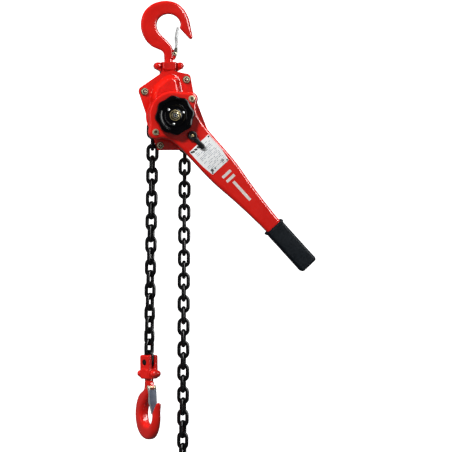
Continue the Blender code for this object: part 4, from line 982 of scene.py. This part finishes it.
LOAD_TWIST = [(-240.0, -3.0), (-317.0, -22.5), (-555.0, -36.0), (-690.0, -49.5), (-715.0, -54.0)]
TAIL_TWIST = [(-240.0, -4.0), (-270.0, -9.0), (-460.0, -9.0), (-770.0, -23.0), (-880.0, -34.0)]


def strand(prefix, at, first_z, count, turns, first_flat, bodies):
    top, rest = [], []
    for i in range(count):
        z = first_z - PITCH * i
        flat = (i % 2 == 0) == first_flat
        m = at(Matrix.Translation((0, 0, (z - AXIS_Z) * MM)) @ Matrix.Rotation(math.radians(twist(turns, z) + (90.0 if flat else 0.0)), 4, "Z"))
        me = link_mesh(-1.3 if i == 0 else 0.15, WIRE * 0.985)
        me.transform(m)
        (top if i == 0 else rest).append(me)
    piece(prefix + "_feed_link", join(prefix, top), BLACK, bodies[0], [prefix + "_top_link"], 80)
    piece(prefix + "_links", join(prefix, rest), BLACK, bodies[1], [prefix], 80)


strand("load_chain", at_load, -217.2, 22, LOAD_TWIST, True, ("load_feed", "load_strand"))
strand("tail_chain", at_tail, -222.2, 30, TAIL_TWIST, False, ("tail_feed", "tail_strand"))
wrap = []
for i in range(3):
    a = math.radians(180 + 11.5 - 41.4 * (i + 1))
    m = (Matrix.Translation(((AXIS_X + SHEAVE_R * math.cos(a)) * MM, 0, (AXIS_Z + SHEAVE_R * math.sin(a)) * MM))
         @ Matrix.Rotation(-a, 4, "Y") @ Matrix.Rotation(math.radians(90.0 if i % 2 == 1 else 0.0), 4, "Z"))
    me = link_mesh(1.2, 3.1)
    me.transform(m)
    wrap.append(me)
piece("sheave_chain_links", join("wrap", wrap), BLACK, "sheave", ["sheave_chain"], 80)

# ------------------------------------------------------------------ carried-over inner pieces
KEEP = {"sheave_bearing_front": STEEL, "sheave_bearing_rear": STEEL, "load_gear": STEEL, "reduction_gear_1": STEEL, "reduction_gear_2": STEEL, "drive_shaft": STEEL,
        "brake_hub": STEEL, "friction_disc_rear": LINING, "friction_disc_front": LINING, "ratchet_disc": STEEL, "change_gear": STEEL, "brake_pawl_1": STEEL,
        "brake_pawl_2": STEEL, "change_pawl": STEEL}
for n, mt in KEEP.items():
    NODES[n].data.materials.clear()
    NODES[n].data.materials.append(mt)

# ------------------------------------------------------------------ studio
paper = bpy.data.materials.new("studio_paper")
paper.use_nodes = True
nt = paper.node_tree
b = nt.nodes["Principled BSDF"]
b.inputs["Base Color"].default_value = (0.94, 0.94, 0.94, 1)
b.inputs["Roughness"].default_value = 0.9
b.inputs["Specular IOR Level"].default_value = 0.1
b.inputs["Emission Color"].default_value = (1, 1, 1, 1)
b.inputs["Emission Strength"].default_value = 0.9
FLOOR, ROOM, COVE = -3.2, 8.0, 1.6
prof = [(0.0, FLOOR), (ROOM - COVE, FLOOR)]
prof += [(ROOM - COVE + COVE * math.sin(math.radians(a)), FLOOR + COVE * (1 - math.cos(math.radians(a)))) for a in range(10, 91, 10)]
prof += [(ROOM, 9.0)]
bm = bmesh.new()
hub = bm.verts.new((0, 0, FLOOR))
cols = []
for k in range(96):
    t = 2 * math.pi * k / 96
    cols.append([bm.verts.new((r * math.cos(t), r * math.sin(t), z)) for r, z in prof[1:]])
for k in range(96):
    a, c = cols[k], cols[(k + 1) % 96]
    bm.faces.new((hub, c[0], a[0]))
    for m in range(len(a) - 1):
        bm.faces.new((a[m], c[m], c[m + 1], a[m + 1]))
me = bpy.data.meshes.new("studio_floor")
bm.to_mesh(me)
bm.free()
floor = bpy.data.objects.new("studio_floor", me)
me.materials.append(paper)
me.shade_smooth()
SC.collection.objects.link(floor)
floor.visible_glossy = False
floor.visible_diffuse = False

w = bpy.data.worlds.new("studio")
SC.world = w
w.use_nodes = True
bg = w.node_tree.nodes["Background"]
bg.inputs[0].default_value = (1, 1, 1, 1)
bg.inputs[1].default_value = 0.115


def area(name, loc, target, size, power, size_y=None, colour=(1, 1, 1), glossy=True, diffuse=True):
    ld = bpy.data.lights.new(name, "AREA")
    ld.energy = power
    ld.size = size
    ld.color = colour
    if size_y:
        ld.shape = "RECTANGLE"
        ld.size_y = size_y
    o = bpy.data.objects.new(name, ld)
    o.location = loc
    o.rotation_euler = (Vector(target) - Vector(loc)).to_track_quat("-Z", "Y").to_euler()
    o.visible_glossy = glossy
    o.visible_diffuse = diffuse
    SC.collection.objects.link(o)
    return o


area("key_left", (-2.5, -4.2, 2.5), (0, 0, -0.4), 0.8, 252, 0.8, glossy=False)
area("fill_front", (0.8, -4.0, 0.0), (0.1, 0, -0.45), 2.4, 13, 2.4, glossy=False)
area("gloss_right", (1.75, -1.2, 0.5), (0.05, 0, -0.3), 0.9, 140, 2.6, diffuse=False)
area("gloss_upper_right", (1.15, -1.2, 1.35), (0.1, 0, -0.4), 0.5, 30, 0.9, diffuse=False)
area("gloss_left", (-2.2, -0.4, 0.1), (0.0, 0, -0.4), 0.3, 5, 1.8, diffuse=False)
area("back_wash_left", (-1.8, 0.9, 2.4), (-0.4, 2.8, -0.2), 2.0, 130, 1.2, glossy=False)
area("back_wash_right", (1.8, 0.9, 2.4), (0.4, 2.8, -0.2), 2.0, 130, 1.2, glossy=False)
area("back_fill", (1.2, 4.4, 1.2), (0.05, 0, -0.4), 1.6, 120, 1.6, glossy=False)

# ------------------------------------------------------------------ camera
az, el, dist, mmpx = math.radians(-9.0), math.radians(2.0), 4.5, 2.096
aim = Vector((0.12109, 0.0, -0.44189))
f = Vector((-math.sin(az) * math.cos(el), math.cos(az) * math.cos(el), -math.sin(el)))
cam_data = bpy.data.cameras.new("camera")
cam_data.sensor_width = 36.0
cam_data.lens = 36.0 * dist / (mmpx * 452 * MM)
cam_data.clip_start, cam_data.clip_end = 0.1, 60.0
cam = bpy.data.objects.new("camera", cam_data)
cam.location = aim - f * dist
cam.rotation_euler = f.to_track_quat("-Z", "Y").to_euler()
SC.collection.objects.link(cam)
SC.camera = cam
SC.view_settings.view_transform = "Standard"
SC.view_settings.look = "None"
SC.view_settings.exposure = 0.0
